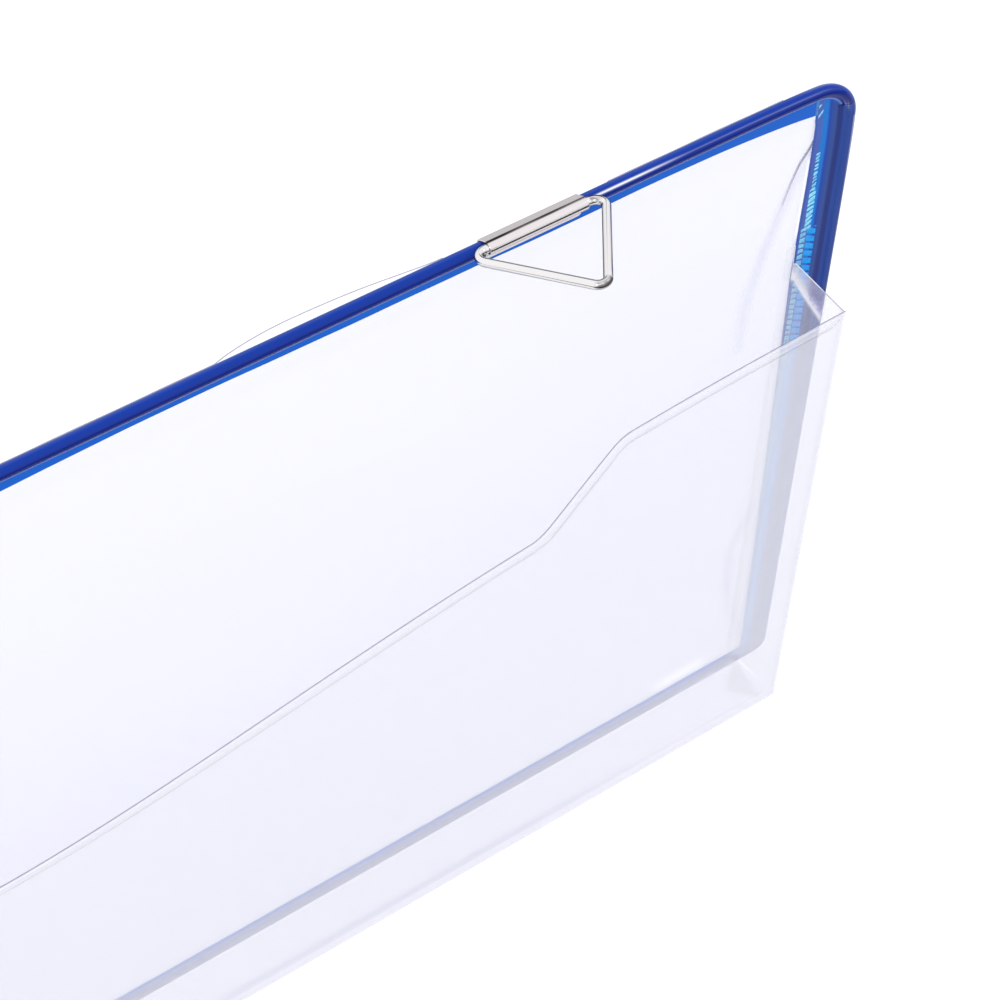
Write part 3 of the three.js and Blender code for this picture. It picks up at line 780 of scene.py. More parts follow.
class Finishes:
    """Every material of the pocket, built once."""

    def __init__(self) -> None:
        weld_teeth_group()
        self.top_strip = StripFinish(TOP_BANDS, BEAD_SHADING).material("blue_vinyl_top")
        side_strip = StripFinish(SIDE_BANDS, SIDE_BEAD_SHADING, TOP_BANDS, SIDE_ROWS)
        self.side_strip = side_strip.material("blue_vinyl_side")
        self.film = FilmFinish().material("clear_vinyl")
        self.back_film = FilmFinish(tint=(0.79, 0.80, 0.90)).material("clear_vinyl_back")
        self.film_edge = FilmEdgeFinish().material("clear_vinyl_edge")
        self.satin = NickelFinish((0.87, 0.82, 0.83), 0.13, 0.09).material("satin_nickel")
        self.bright = NickelFinish((0.94, 0.92, 0.92), 0.05, 0.05, WHITE, 0.12).material("bright_nickel")
        self.steel = NickelFinish((0.60, 0.61, 0.64), 0.3, 0.1).material("drawn_steel")


# The blue edge binding


@dataclass(frozen=True)
class Highlight:
    """A painted mark on a round section, such as a painted highlight or a painted dark reflection: where it lies
    and its width, in degrees, and its strength.
    """

    turn: float
    width: float
    strength: float

    def at(self, facing: Array) -> Array:
        """Its strength at the given degrees round the section."""
        return self.strength * bell(facing - self.turn, self.width)


# Painted highlights along the beads: a glow and a line beside the clip, a fainter line further on, and a line
# down each side bead's front; then a pale mottled patch on the bead near each top corner.
CLIP_GLOW = Highlight(45.0, 9.0, 1.0)
CLIP_LINE = Highlight(45.0, 5.5, 0.25)
FAR_LINE = Highlight(45.0, 5.5, 0.15)
SIDE_LINE = Highlight(74.0, 6.0, 0.42)
PALE_PATCH = Highlight(140.0, 34.0, 0.3)
CLIP_RUN = ((95.0, 100.0), (106.0, 124.0))
FAR_RUN = ((100.0, 106.0), (157.0, 165.0))
BEND_RUN = (150.0, 164.0)
BEND_TURN = (-45.0, 15.0)
TOP_END = -5.5
SIDE_START, SIDE_END = -9.9, -45.0
SIDE_LINE_FADE = (13.0, 34.0)
TURN_START, TURN_SPAN = -60.0, 180.0
CUT_WAVES = ((0.045, 0.3), (0.13, 1.7), (0.31, 0.9))
TOP_UNEVEN = ((0.7, -40.0, 17.0), (-0.45, 4.0, 22.0), (0.35, -90.0, 20.0), (0.35, 90.0, 20.0))


class Binding:
    """The blue strips folded round the frame wire.

    Args:
        sizes: the frame's sizes.
        finishes: the pocket's materials.
    """

    bead_sides: int = 60
    corner_steps: int = 40
    run_steps: int = 200
    strip_steps: int = 420
    side_steps: int = 1000
    side_bead_steps: int = 60
    wire_steps: int = 80
    wire_sides: int = 20
    flange_steps: int = 48
    groove_steps: int = 44
    strip_reach: float = 0.85
    bottom_wander: float = 0.08 * MM
    round_nose: float = 0.5
    square_nose: float = 0.04

    def __init__(self, sizes: FrameSizes, finishes: Finishes) -> None:
        self.sizes = sizes
        self.finishes = finishes

    def bead(self, place: Array, out: Array) -> list[Patch]:
        """A hollow round bead carried along a path in the frame's plane.

        Args:
            place: the path's points as (x, z), of shape (stations, 2).
            out: the direction away from the frame's middle at each station.

        Returns:
            The outer and inner walls and the two cut ends.
        """
        sizes = self.sizes
        angle = np.linspace(0, 2 * np.pi, self.bead_sides, endpoint=False)
        steps = np.linalg.norm(np.diff(place, axis=0), axis=1)
        along = np.concatenate([[0.0], np.cumsum(steps)]) / MM
        outer, inner = (tube(place, out, radius, angle) for radius in (sizes.bead, sizes.bore))
        shape = outer.shape[:2]
        facing = np.degrees(np.arctan2(-np.sin(angle), np.cos(angle)))
        values = {
            "run": np.broadcast_to(along[:, None], shape),
            "inset": np.broadcast_to(np.maximum(-np.cos(angle) * sizes.bead / MM, 0), shape),
            # The turn round the bead, which the finish ramps into painted light and shade.
            "turn": np.broadcast_to(np.clip((facing - TURN_START) / TURN_SPAN, 0.01, 1), shape),
            # The bead's painted highlights, and a pale mottled patch near each top corner.
            "sheen": self.sheen(place / MM, facing),
        }
        patches = [Patch(outer, 0, True, values), Patch(inner[:, ::-1], 0, True, values)]
        for end in (0, -1):
            carried = {key: np.stack([value[end]] * 2) for key, value in values.items()}
            patches.append(Patch(np.stack([outer[end], inner[end]]), 0, True, carried))
        return patches

    def sheen(self, place: Array, facing: Array) -> Array:
        """The bead's long painted highlights, whose strength varies along it, and a pale mottled patch near each
        top corner.

        Args:
            place: the path's points as (x, z) in millimetres, of shape (stations, 2).
            facing: degrees from straight outwards towards the front, round the bead.

        Returns:
            The strength of the painted highlights and the patch, of shape (stations, facings).
        """
        x, z = place[:, :1], place[:, 1:]
        # Painted highlights beside the clip and further along the top bead.
        top = window(x, *CLIP_RUN) * (CLIP_GLOW.at(facing) + CLIP_LINE.at(facing))
        top = top + window(x, *FAR_RUN) * FAR_LINE.at(facing)
        # A broad painted highlight on the shoulder of each top bend.
        top = top + 0.3 * smooth_step(*BEND_RUN, np.abs(x)) * (1 - smooth_step(*BEND_TURN, facing))
        mottle = np.clip(np.sin(z * 4.1 + facing * 0.09) * np.sin(facing * 0.13 - z * 2.3) + 0.35, 0, 1)
        # A pale mottled patch on the bead near each top corner.
        pale_patch = bell(z + 5.6, 1.4) * PALE_PATCH.at(facing) * mottle * (np.abs(x) > 160)
        # A painted highlight down the front of each side bead.
        side = (1 - smooth_step(*SIDE_LINE_FADE, -z)) * SIDE_LINE.at(facing)
        return (z > TOP_END) * top + pale_patch + (z < SIDE_START) * (z > SIDE_END) * side

    def corner(self, centre: Span, radius: float, start: float) -> tuple[Array, Array]:
        """The places and outward directions of a quarter turn round a centre, from a start angle in radians."""
        angle = start + np.linspace(0, np.pi / 2, self.corner_steps)
        out = np.stack([np.cos(angle), np.sin(angle)], axis=1)
        return np.array(centre) + radius * out, out

    def corner_run(self, edge: Edge) -> tuple[Array, Array]:
        """The path of a long run with both its corners and its short legs.

        Args:
            edge: the top or the bottom run.

        Returns:
            The stations' places and outward directions.
        """
        sizes = self.sizes
        radius, leg = sizes.top_corner, sizes.top_leg
        if edge is Edge.BOTTOM:
            radius, leg = sizes.bottom_corner, sizes.bottom_leg
        corner_x = sizes.half_width - radius
        right, right_out = self.corner((corner_x, -radius), radius, 0.0)
        left, left_out = self.corner((-corner_x, -radius), radius, np.pi / 2)
        start, end = (np.array([[sign * sizes.half_width, -radius - leg]]) for sign in (1, -1))
        across = np.linspace(right[-1], left[0], self.run_steps)[1:-1]
        place = np.concatenate([start, right, across, left, end])
        straight = np.broadcast_to(right_out[-1], across.shape)
        out = np.concatenate([right_out[:1], right_out, straight, left_out, left_out[-1:]])
        if edge is Edge.BOTTOM:
            place = place * [1, -1] - [0, sizes.height]
            out = out * [1, -1]
        return place, out

    def flange(
        self,
        run: Array,
        depth: Array,
        start: float,
        to_space: Callable[[Array, Array, Array], Array],
        groove: Array | None = None,
        drop: Array | float = 0.0,
    ) -> list[Patch]:
        """A two ply flange that runs beside the bead, with a hollow where it leaves it.

        Its half thickness falls from the bead's edge to one ply as the square of the way left.

        Args:
            run: distance along the strip of each station.
            depth: how deep the flange reaches at each station, from the wire's axis.
            start: where it leaves the bead.
            to_space: turns run, inset and y into points.
            groove: how deep the front face is pressed at each station and step.
            drop: how much further in the bead lies at each station, where it bends away.

        Returns:
            The flange's skin and its two ends.
        """
        sizes = self.sizes
        pressed = np.zeros((len(run), self.flange_steps)) if groove is None else groove
        share = np.linspace(0, 1, pressed.shape[1])
        fall = np.broadcast_to(drop, run.shape)[:, None]
        front_inset = fall + start + share[None, :] * (depth[:, None] - fall - start)
        hollow_end = sizes.bead + sizes.hollow
        left = np.clip((hollow_end - front_inset + fall) / (hollow_end - start), 0, 1) ** 2
        at_bead = math.sqrt(sizes.bead**2 - start**2)
        half = sizes.ply + (at_bead - sizes.ply) * left
        nose = sizes.ply * np.where(fall > 0, self.square_nose, self.round_nose)
        past_nose = np.clip((front_inset - depth[:, None] + nose) / nose, 0, 1)
        back_y = half - nose * (1 - np.sqrt(1 - past_nose**2))
        inset = np.concatenate([front_inset, front_inset[:, ::-1]], axis=1)
        y = np.concatenate([pressed - back_y, back_y[:, ::-1]], axis=1)
        station = np.broadcast_to(run[:, None], inset.shape)
        points = to_space(station, inset, y)
        values = {"run": np.abs(station) / MM, "inset": inset / MM}
        ends = [cap(points[end], {key: value[end] for key, value in values.items()}) for end in (0, -1)]
        return [Patch(points, 0, True, values), *ends]

    def cut_wander(self, run: Array, amount: float = 0.12 * MM) -> Array:
        """How the knife's cut wanders along a strip: a sum of three slow sines."""
        return amount * sum(np.sin(run / MM * pace + phase) for pace, phase in CUT_WAVES) / len(CUT_WAVES)

    def top_depth(self, x: Array) -> Array:
        """The top flange's depth: an eighth power that flares at both corners, cut a little unevenly."""
        sizes = self.sizes
        reach = sizes.half_width - sizes.side_depth
        share = np.clip(np.abs(x) / reach, 0, 1) ** sizes.top_flare
        uneven = sum(height * bell(x / MM - middle, width) for height, middle, width in TOP_UNEVEN)
        depth = sizes.top_depth + (sizes.top_end_depth - sizes.top_depth) * share + uneven * MM * (1 - share)
        return depth + 0.6 * self.cut_wander(x) * (1 - share)

    def thirds(self, patch: Patch, inner: Array) -> list[Patch]:
        """Cuts a patch where the inner stations start and end; the outer stretches take the side's finish."""
        first, last = np.flatnonzero(inner)[[0, -1]]
        stretches = []
        for rows, slot in ((slice(0, first + 1), 1), (slice(first, last + 1), 0), (slice(last, None), 1)):
            values = {key: value[rows] for key, value in patch.values.items()}
            stretches.append(Patch(patch.points[rows], slot, True, values))
        return stretches

    def long_strip(self, edge: Edge) -> None:
        """Builds the top or bottom strip, whose ends are coloured as the side strips that they lie on."""
        sizes = self.sizes
        top = edge is Edge.TOP
        half = sizes.half_width - sizes.bead * self.strip_reach
        run = np.linspace(-half, half, self.strip_steps)
        if top:
            depth, drop, base = self.top_depth(run), sizes.bend_drop(run), 0.0
        else:
            wander = self.cut_wander(run, self.bottom_wander) - self.bottom_wander
            depth = np.full_like(run, sizes.bottom_depth) + wander
            drop, base = np.zeros_like(run), -sizes.height
        up = -1 if top else 1
        place, out = self.corner_run(edge)
        patches = self.bead(place, out)
        if top:
            patches += self.thirds(patches.pop(0), place[:, 1] > -sizes.turned_bead)
        to_space = lambda r, d, y: np.stack([r, y, base + up * d], axis=-1)
        skin, *ends = self.flange(run, depth, sizes.flange_start, to_space, drop=drop)
        strip_depth = sizes.side_top_depth if top else sizes.side_bottom_depth
        for end in ends:
            end.slot = 1
            end.values["inset"] = np.full_like(end.values["inset"], 1.0)
        stretches = self.thirds(skin, sizes.half_width - np.abs(run) >= strip_depth)
        for stretch in (stretches[0], stretches[2]):
            points = stretch.points
            stretch.values["inset"] = (sizes.half_width - np.abs(points[..., 0])) / MM
            stretch.values["run"] = np.abs(points[..., 2] - base) / MM
            if top:
                stretch.values["beside"] = self.beside_bend(points)
        materials = [self.finishes.top_strip, self.finishes.side_strip]
        self.build_strip(edge.value, patches + stretches + ends, materials)

    def build_strip(self, word: str, patches: list[Patch], materials: list[bpy.types.Material]) -> None:
        """Builds a strip's piece where the frame settles."""
        for patch in patches:
            patch.points = SETTLING.settled(patch.points)
        build_piece(f"border_{word}_strip", patches, materials, Role("root", "blue_vinyl", f"border_{word}"))

    def beside_bend(self, points: Array) -> Array:
        """How far each point lies inside a top corner's axis, in millimetres."""
        sizes = self.sizes
        across = np.maximum(np.abs(points[..., 0]) - sizes.half_width + sizes.top_corner, 0)
        up = np.maximum(points[..., 2] + sizes.top_corner, 0)
        return np.maximum(sizes.top_corner - np.hypot(across, up), 0.02 * MM) / MM

    def side_depth(self, z: Array) -> Array:
        """The side flange's depth: full below the taper, a little less at its top and least at its foot."""
        sizes = self.sizes
        taper_end = -sizes.top_end_depth - sizes.joint_gap - sizes.side_taper
        foot = -sizes.height + sizes.bottom_depth + sizes.joint_gap
        above = np.clip((z - taper_end) / sizes.side_taper, 0, 1)
        below = np.clip((taper_end - z) / (taper_end - foot), 0, 1)
        depth = sizes.side_depth + (sizes.side_top_depth - sizes.side_depth) * above
        depth = depth + (sizes.side_bottom_depth - sizes.side_depth) * below
        return depth - 0.06 * MM + 0.5 * self.cut_wander(z)

    def side_groove(self, z: Array, depth: Array, start: Array) -> Array:
        """How deep the weld's teeth are pressed in the side strip's front.

        Args:
            z: the stations' heights.
            depth: the flange's depth at each station.
            start: where the flange begins at each station.

        Returns:
            The pressed depth, of shape (stations, steps).
        """
        share = np.linspace(0, 1, self.groove_steps)
        inset = (start[:, None] + share[None, :] * (depth - start)[:, None]) / MM
        run = np.abs(z)[:, None] / MM
        pressed = np.zeros_like(inset)
        for row in SIDE_ROWS:
            phase = ((run + row.slant * inset) / row.pitch) % 1.0
            tooth = smooth_step(0.0, 0.14, row.share / 2 - np.abs(phase - 0.5))
            across = window(inset, (row.low, row.low + 0.25), (row.high - 0.25, row.high))
            lengthwise = window(run, (row.start, row.start + 0.5), (row.end - 0.5, row.end))
            pressed = np.maximum(pressed, tooth * across * lengthwise)
        return self.sizes.tooth_groove * pressed

    def side_strip(self, side: Side) -> None:
        """Builds one side strip, pressed a little where the top strip's flange lies in it."""
        sizes = self.sizes
        sign = side.value
        high = -sizes.top_corner - sizes.top_leg - sizes.joint_gap
        low = -sizes.height + sizes.bottom_corner + sizes.bottom_leg + sizes.joint_gap
        bead_z = np.linspace(high, low, self.side_bead_steps)
        place = np.stack([np.full_like(bead_z, sign * sizes.half_width), bead_z], axis=1)
        out = np.broadcast_to([float(sign), 0.0], place.shape)
        bottom = -sizes.height + sizes.bottom_depth + sizes.joint_gap
        z = np.linspace(-sizes.top_end_depth + sizes.side_lap, bottom, self.side_steps)
        start = sizes.side_flange_start
        depth = self.side_depth(z)
        limit = sizes.inside_bend(z, sizes.top_corner - start)
        drop = np.maximum(sizes.half_width - limit - start, 0) * (z > -sizes.top_corner)
        lapped = sizes.lap_groove * (z > -sizes.top_end_depth - 0.02 * MM)
        groove = np.maximum(self.side_groove(z, depth, start + drop), lapped[:, None])
        to_space = lambda r, d, y: np.stack([sign * (sizes.half_width - d), y, r], axis=-1)
        patches = self.bead(place, out) + self.flange(z, depth, start, to_space, groove, drop)
        self.build_strip(side.word, patches, [self.finishes.side_strip])

    def wire(self) -> None:
        """Builds the steel wire inside the strips, a tube carried once round the frame."""
        top, top_out = self.corner_run(Edge.TOP)
        bottom, bottom_out = (run[::-1] for run in self.corner_run(Edge.BOTTOM))
        left = np.linspace(top[-1], bottom[0], self.wire_steps)[1:-1]
        right = np.linspace(bottom[-1], top[0], self.wire_steps)[1:]
        place = np.concatenate([top, left, bottom, right])
        left_out, right_out = np.full_like(left, [-1.0, 0.0]), np.full_like(right, [1.0, 0.0])
        out = np.concatenate([top_out, left_out, bottom_out, right_out])
        angle = np.linspace(0, 2 * np.pi, self.wire_sides, endpoint=False)
        points = tube(place, out, self.sizes.wire, angle)
        patch = Patch(SETTLING.settled(points), 0, True)
        role = Role("root", "frame_steel", "frame_wire")
        build_piece("frame_wire_steel", [patch], [self.finishes.steel], role)

    def build(self) -> None:
        """Builds all four strips and the wire inside them."""
        for edge in Edge:
            self.long_strip(edge)
        for side in Side:
            self.side_strip(side)
        self.wire()


# The clear film


@dataclass(frozen=True)
class FilmFold:
    """A soft crease in a film: a polyline of (x, z) in millimetres, its width and its height.

    It carries a painted shade as a fold, and may carry a painted dark line along it. It fades near the
    polyline's end.
    """

    points: tuple[Span, ...]
    width: float
    height: float
    shade: float
    shade_line: float = 0.0
    fade: float = 1.4

    def mask(self, x: Array, z: Array) -> Array:
        """How strongly each point lies in the fold, from 0 to 1: a bell of the distance to the polyline."""
        nearest = np.full(x.shape, np.inf)
        along = np.zeros(x.shape)
        stretches = list(zip(self.points[:-1], self.points[1:]))
        for number, (first, last) in enumerate(stretches):
            first_at, last_at = np.array(first) * MM, np.array(last) * MM
            way = last_at - first_at
            share = np.clip(((x - first_at[0]) * way[0] + (z - first_at[1]) * way[1]) / (way @ way), 0, 1)
            gap = np.hypot(x - first_at[0] - share * way[0], z - first_at[1] - share * way[1])
            closer = gap < nearest
            nearest = np.where(closer, gap, nearest)
            along = np.where(closer, (number + share) / len(stretches), along)
        return bell(nearest, self.width * MM) * np.clip(self.fade - along, 0, 1)


BACK_FOLDS = (
    FilmFold(((161.0, -13.5), (157.1, -21.3), (155.2, -27.0), (153.8, -33.0)), 0.2, 0.25, 0.3, 1.3),
    FilmFold(((159.8, -19.0), (154.8, -32.0), (150.5, -46.0), (147.0, -62.0), (146.0, -78.0)), 1.9, 0.5, 0.3),
    FilmFold(
        ((158.7, -149.9), (152.5, -168.0), (153.4, -187.0), (156.2, -200.5), (161.5, -218.0)), 1.7, 0.4, 0.3
    ),
    FilmFold(((-160.0, -14.5), (-152.0, -30.0), (-147.0, -60.0)), 2.4, 0.4, 0.4),
    FilmFold(((-158.0, -212.0), (-140.0, -198.0), (-118.0, -192.0)), 3.5, 0.5, 0.25),
)
ALL_EDGES = (0, 1, 2, 3)
CREASED_RUN = (146 * MM, 161 * MM)
STRIP_RUN = ((18.0, 22.0), (44.0, 48.0))
# A painted highlight on the back sheet near its foot, made by clearing its tint.
GLEAM_RUN = ((126.0, 133.0), (145.0, 150.0))
GLEAM_Z, GLEAM_WIDTH = -219.0, 2.4


@dataclass(frozen=True)
class FrontMarks:
    """The marks on the pocket's front, in millimetres from its free edge, its ends or its foot.

    A line is a strength, a place and a width: a painted highlight, or a painted shade where its strength is
    negative.
    """

    hook: float = 3.4
    end_dip: Span = (3.0, 2.2)
    middle_rise: float = 1.2
    rise_run: Span = (60.0, 150.0)
    pressed_width: float = 0.3
    hook_lines: tuple[tuple[float, float, float], ...] = ((0.45, -0.2, 0.26), (-0.6, 0.42, 0.2))
    edge_line: tuple[float, float, float] = (0.3, 0.9, 0.4)
    lap: tuple[float, float, float] = (0.5, 7.2, 0.35)
    edge_frost: Span = (2.6, 3.6)
    foot_frost: Span = (4.0, 5.0)
    streaks: tuple[tuple[float, float, float], ...] = (
        (1.6, 0.09, 0.3), (3.1, 0.05, 1.9), (4.4, 0.07, 4.0), (9.5, 0.03, 2.2),
    )

    def line(self, mark: tuple[float, float, float], value: Array) -> Array:
        """A mark's strength over a distance."""
        strength, place, width = mark
        return strength * bell(value - place, width)

    def hook_place(self, end_gap: Array) -> Array:
        """How far the pressed line lies from the free edge: less at the ends, more in the middle."""
        dip, width = self.end_dip
        rise = self.middle_rise * smooth_step(*self.rise_run, end_gap)
        return self.hook - dip * bell(end_gap, width) + rise

    def foot_streaks(self, x: Array, foot: Array) -> Array:
        """Faint pale streaks along the foot: narrow bells at set heights, broken along x by slow sines."""
        total = np.zeros_like(x)
        for height, pace, phase in self.streaks:
            total = total + np.clip(np.sin(x * pace + phase) + 0.3, 0, 1) * bell(foot - height, 0.3)
        return total


FRONT_MARKS = FrontMarks()


@dataclass(frozen=True)
class GussetMarks:
    """The marks on a side gusset, in millimetres of height and of depth from the back face.

    Above a curling line lies a mottled painted reflection of the blue strip; on the line lies a painted
    highlight, a whitish band; along the front crease lies a painted shade.
    """

    curl_top: float = -57.0
    curl_fall: float = 8.5
    curl_depth: float = 10.0
    band_above: float = 2.4
    band_below: float = 1.0
    band_end: Span = (9.4, 10.6)
    reflection_start: Span = (4.5, 6.5)
    reflection_top: Span = (-52.0, -50.0)
    close_rise: Span = (-90.0, -62.0)
    tab_end: Span = (0.75, 0.95)
    tab_side: Span = (157.9, 158.2)
    glint_end: Span = (8.0, 10.5)
    crease: Span = (15.2, 0.5)

    def values(self, x: Array, depth: Array, z: Array) -> Values:
        """The numbers that the gusset's points carry.

        Args:
            x: how far each point lies from the middle.
            depth: how far it lies from the back.
            z: its height.

        Returns:
            Arrays of the grid's shape, by name.
        """
        # The band on the curling line is a painted highlight; above it lies the painted mottled reflection of
        # the strip, and patch gives its bright specks.
        curl = self.curl_top - self.curl_fall * np.clip(depth / self.curl_depth, 0, 1) ** 0.8
        ends = 1 - smooth_step(*self.band_end, depth)
        band = bell(z - curl, np.where(z > curl, self.band_above, self.band_below)) * ends
        over = smooth_step(0.0, 1.5, z - curl) * ends
        mottle = np.sin(depth * 3.1 + 1.3 * np.sin(z * 2.3)) * np.sin(z * 3.7 + 1.1 * np.sin(depth * 2.9))
        strip_reflection = over * smooth_step(*self.reflection_start, depth) * (1 - smooth_step(*self.reflection_top, z))
        patch = strip_reflection * smooth_step(0.45, 0.7, 0.5 + 0.5 * mottle)
        close = 0.24 * smooth_step(*self.close_rise, z) * (1 - over) * ends
        tab = (1 - smooth_step(*self.tab_end, depth)) * (1 - smooth_step(*self.tab_side, x))
        crease_at, crease_width = self.crease
        bare = 0.72 * tab + (0.4 * strip_reflection + close) * (1 - 0.8 * np.clip(band, 0, 1))
        # The fold value carries the painted reflection and a painted shade along the front crease; the frost and
        # line values carry the painted highlight band; glint is a painted highlight on the top edge near the
        # back.
        return {
            "fold": np.clip(0.1 * over + 0.9 * strip_reflection + 0.3 * bell(depth - crease_at, crease_width), 0, 1),
            "frost": np.clip(1.3 * band + 0.1 * over, 0, 1) * (1 - tab),
            "line": 0.6 * band * (1 - tab) - 0.55 * strip_reflection + 0.5 * patch,
            "glint": 1 - smooth_step(*self.glint_end, depth),
            "bare": np.clip(bare, 0, 1),
        }


class Film:
    """The clear back sheet and the pocket's film.

    Args:
        finishes: the pocket's materials.
    """

    back_steps: int = 130
    creased_steps: int = 100
    flat_steps: int = 85
    dense_share: float = 0.82
    rim_steps: int = 15
    rim_rise: float = 0.55
    front_steps: int = 380
    foot_zone: float = 8.5 * MM
    foot_steps: int = 24
    middle_steps: int = 34
    edge_zone: float = 6.0 * MM
    edge_steps: int = 44
    floor_steps: int = 240
    slope_steps: int = 26
    lip_steps: int = 6
    tab_steps: int = 12
    bend_steps: int = 16
    wall_steps: int = 40
    gusset_steps: int = 150
    gusset_crowding: float = 1.3
    tuck_steps: int = 24

    def __init__(self, finishes: Finishes) -> None:
        self.finishes = finishes
        self.front_face = FRAME.ply + FILM.lay_gap
        self.tab_back = -self.front_face
        self.tab_front = self.tab_back - FILM.thickness
        self.crease_z = -FRAME.height - POCKET.crease_drop
        self.front_half = FRAME.half_width - POCKET.front_inset
        self.weld_half = FRAME.half_width - POCKET.weld_inset
        self.inside_front = -POCKET.depth + FILM.thickness + POCKET.seam_gap
        self.floor_back = -FRAME.height + FRAME.bead + POCKET.fold_gap + FILM.thickness
        self.lip = self.floor_back + FILM.thickness + POCKET.fold_gap

    def make(self, name: str, near: Array, far: Array, values: Values, lined: tuple[int, ...]) -> None:
        """Builds a film piece that stands for the node of the same name.

        Args:
            name: the node's name; the piece is named after it.
            near: one face's grid.
            far: the other face's grid.
            values: the numbers that the grid's points carry.
            lined: the borders that show as cut edges.
        """
        film = self.finishes.back_film if name == "back_panel" else self.finishes.film
        patches = shell_patches(near, far, values, lined)
        build_piece(f"{name}_film", patches, [film, self.finishes.film_edge], Role("root", "clear_vinyl", name))

    def rim_top(self, x: Array) -> Array:
        """The back sheet's free edge over the bead: a low lip, with a loose flap beside the right clip."""
        along = np.clip((x - FILM.flap_start) / (FILM.flap_end - FILM.flap_start), 0, 1)
        flap = (FILM.flap_height - FILM.lip_height) * np.sin(np.pi * along**0.7)
        return FILM.lip_height + flap + 0.05 * MM * np.sin(x / MM * 0.29 + 1.0) - 0.05 * MM

    def back_columns(self) -> tuple[Array, Array]:
        """The back sheet's stations along X, closer where it is creased, and which of them have a rim."""
        half = FRAME.half_width - FILM.inset
        notch = HANGER.base / 2 + HANGER.wire + HANGER.notch_room
        clip_x, rim_end = HANGER.pitch / 2, FRAME.half_width - FILM.rim_end
        spans = ((-rim_end, -clip_x - notch), (-clip_x + notch, clip_x - notch), (clip_x + notch, rim_end))
        steps = (np.array(spans).reshape(-1, 1) + np.array([-0.1, 0.1]) * MM).ravel()
        even, creased = np.linspace(-half, half, self.back_steps), np.linspace(*CREASED_RUN, self.creased_steps)
        columns = np.unique(np.concatenate([even, creased, steps]))
        return columns, np.any([(columns > start) & (columns < end) for start, end in spans], axis=0)

    def back_grid(self) -> tuple[Array, Array, Array]:
        """The back sheet's flat part and its rim, as grids of x, y and z."""
        columns, has_rim = self.back_columns()
        bent = FRAME.top_corner - FILM.inset
        beyond = np.clip(np.abs(columns) - FRAME.half_width + FRAME.top_corner, 0, bent)
        highest = -FRAME.top_corner + np.sqrt(bent**2 - beyond**2)
        flat_top = np.minimum(-FILM.ramp_start, highest) - FILM.thickness
        foot = -FRAME.height + FILM.inset + self.corner_lift(FRAME.half_width - FILM.inset - np.abs(columns))
        dense = np.linspace(self.dense_share, 1, self.flat_steps)[1:]
        share = np.concatenate([np.linspace(0, self.dense_share, self.flat_steps), dense])
        flat_z = foot[:, None] + share[None, :] * (flat_top - foot)[:, None]
        up = np.linspace(0, 1, self.rim_steps)[1:]
        ramp_y = self.front_face + (FRAME.bead - FRAME.ply) * smooth_step(0.0, self.rim_rise, up)
        rim_z = flat_top[:, None] + up[None, :] * (self.rim_top(columns) - flat_top)[:, None]
        plain_z = flat_top[:, None] + up[None, :] * (FILM.thickness - 0.02 * MM)
        up_z = np.where(has_rim[:, None], rim_z, plain_z)
        up_y = np.where(has_rim[:, None], ramp_y[None, :], self.front_face)
        z = np.concatenate([flat_z, up_z], axis=1)
        y = np.concatenate([np.full_like(flat_z, self.front_face), up_y], axis=1)
        return np.broadcast_to(columns[:, None], z.shape), y, z

    def back_bare(self, x: Array, z: Array) -> Array:
        """Where the sheet shows no tint: over the bead, beside the side strips and in a painted highlight near
        its foot.
        """
        taper = np.clip((-z - FRAME.top_end_depth) / FRAME.side_taper, 0, 1)
        strip = FRAME.half_width - FRAME.side_top_depth - (FRAME.side_depth - FRAME.side_top_depth) * taper
        beside = bell(np.abs(x) - strip - 0.1 * MM, 0.4 * MM) * window(-z / MM, *STRIP_RUN)
        gleam = bell(z / MM - GLEAM_Z, GLEAM_WIDTH) * window(x / MM, *GLEAM_RUN)
        return np.clip(smooth_step(-3 * MM, 0.5 * MM, z) + 0.85 * beside + 0.95 * gleam, 0, 1)

    def back_panel(self) -> None:
        """Builds the back sheet, with its rim behind the bead and a notch round each clip."""
        x, y, z = self.back_grid()
        lift, shade, shade_line = self.back_waves(x, z)
        near = SETTLING.settled(np.stack([x, y + lift, z], axis=-1))
        values = {"fold": shade, "line": shade_line, "bare": self.back_bare(x, z)}
        self.make("back_panel", near, near + [0, FILM.thickness, 0], values, ALL_EDGES)

    def corner_lift(self, gap: Array) -> Array:
        """How far a rounded lower corner's edge lies above the sheet's low edge, gap in from the end."""
        short = np.clip(FILM.corner - gap, 0, FILM.corner)
        return FILM.corner - np.sqrt(FILM.corner**2 - short**2)

    def back_waves(self, x: Array, z: Array) -> tuple[Array, Array, Array]:
        """The back sheet's folds and slow waves, which die out where the sheet is welded.

        Args:
            x: the grid's x.
            z: the grid's z.

        Returns:
            How far each point moves back, how strongly it carries a fold's painted shade, and its painted dark
            or bright line.
        """
        side_gap = FRAME.half_width - FRAME.side_depth - np.abs(x)
        free = smooth_step(-0.5 * MM, 6 * MM, side_gap) * smooth_step(6 * MM, 12 * MM, -z)
        free = free * smooth_step(4 * MM, 12 * MM, z + FRAME.height)
        waves = 0.2 * MM * (1 + np.sin(x / MM * 0.05 + 0.02 * z / MM) * np.sin(z / MM * 0.035 + 0.4))
        lift, shade, shade_line = waves * free, np.zeros_like(x), np.zeros_like(x)
        loose = smooth_step(-1 * MM, 2 * MM, side_gap) * smooth_step(6 * MM, 9 * MM, -z)
        for fold in BACK_FOLDS:
            mask = fold.mask(x, z)
            lift = lift + fold.height * MM * mask * loose
            shade = shade + fold.shade * mask
            shade_line = shade_line - fold.shade_line * mask
        return lift, np.clip(shade, 0, 1), shade_line

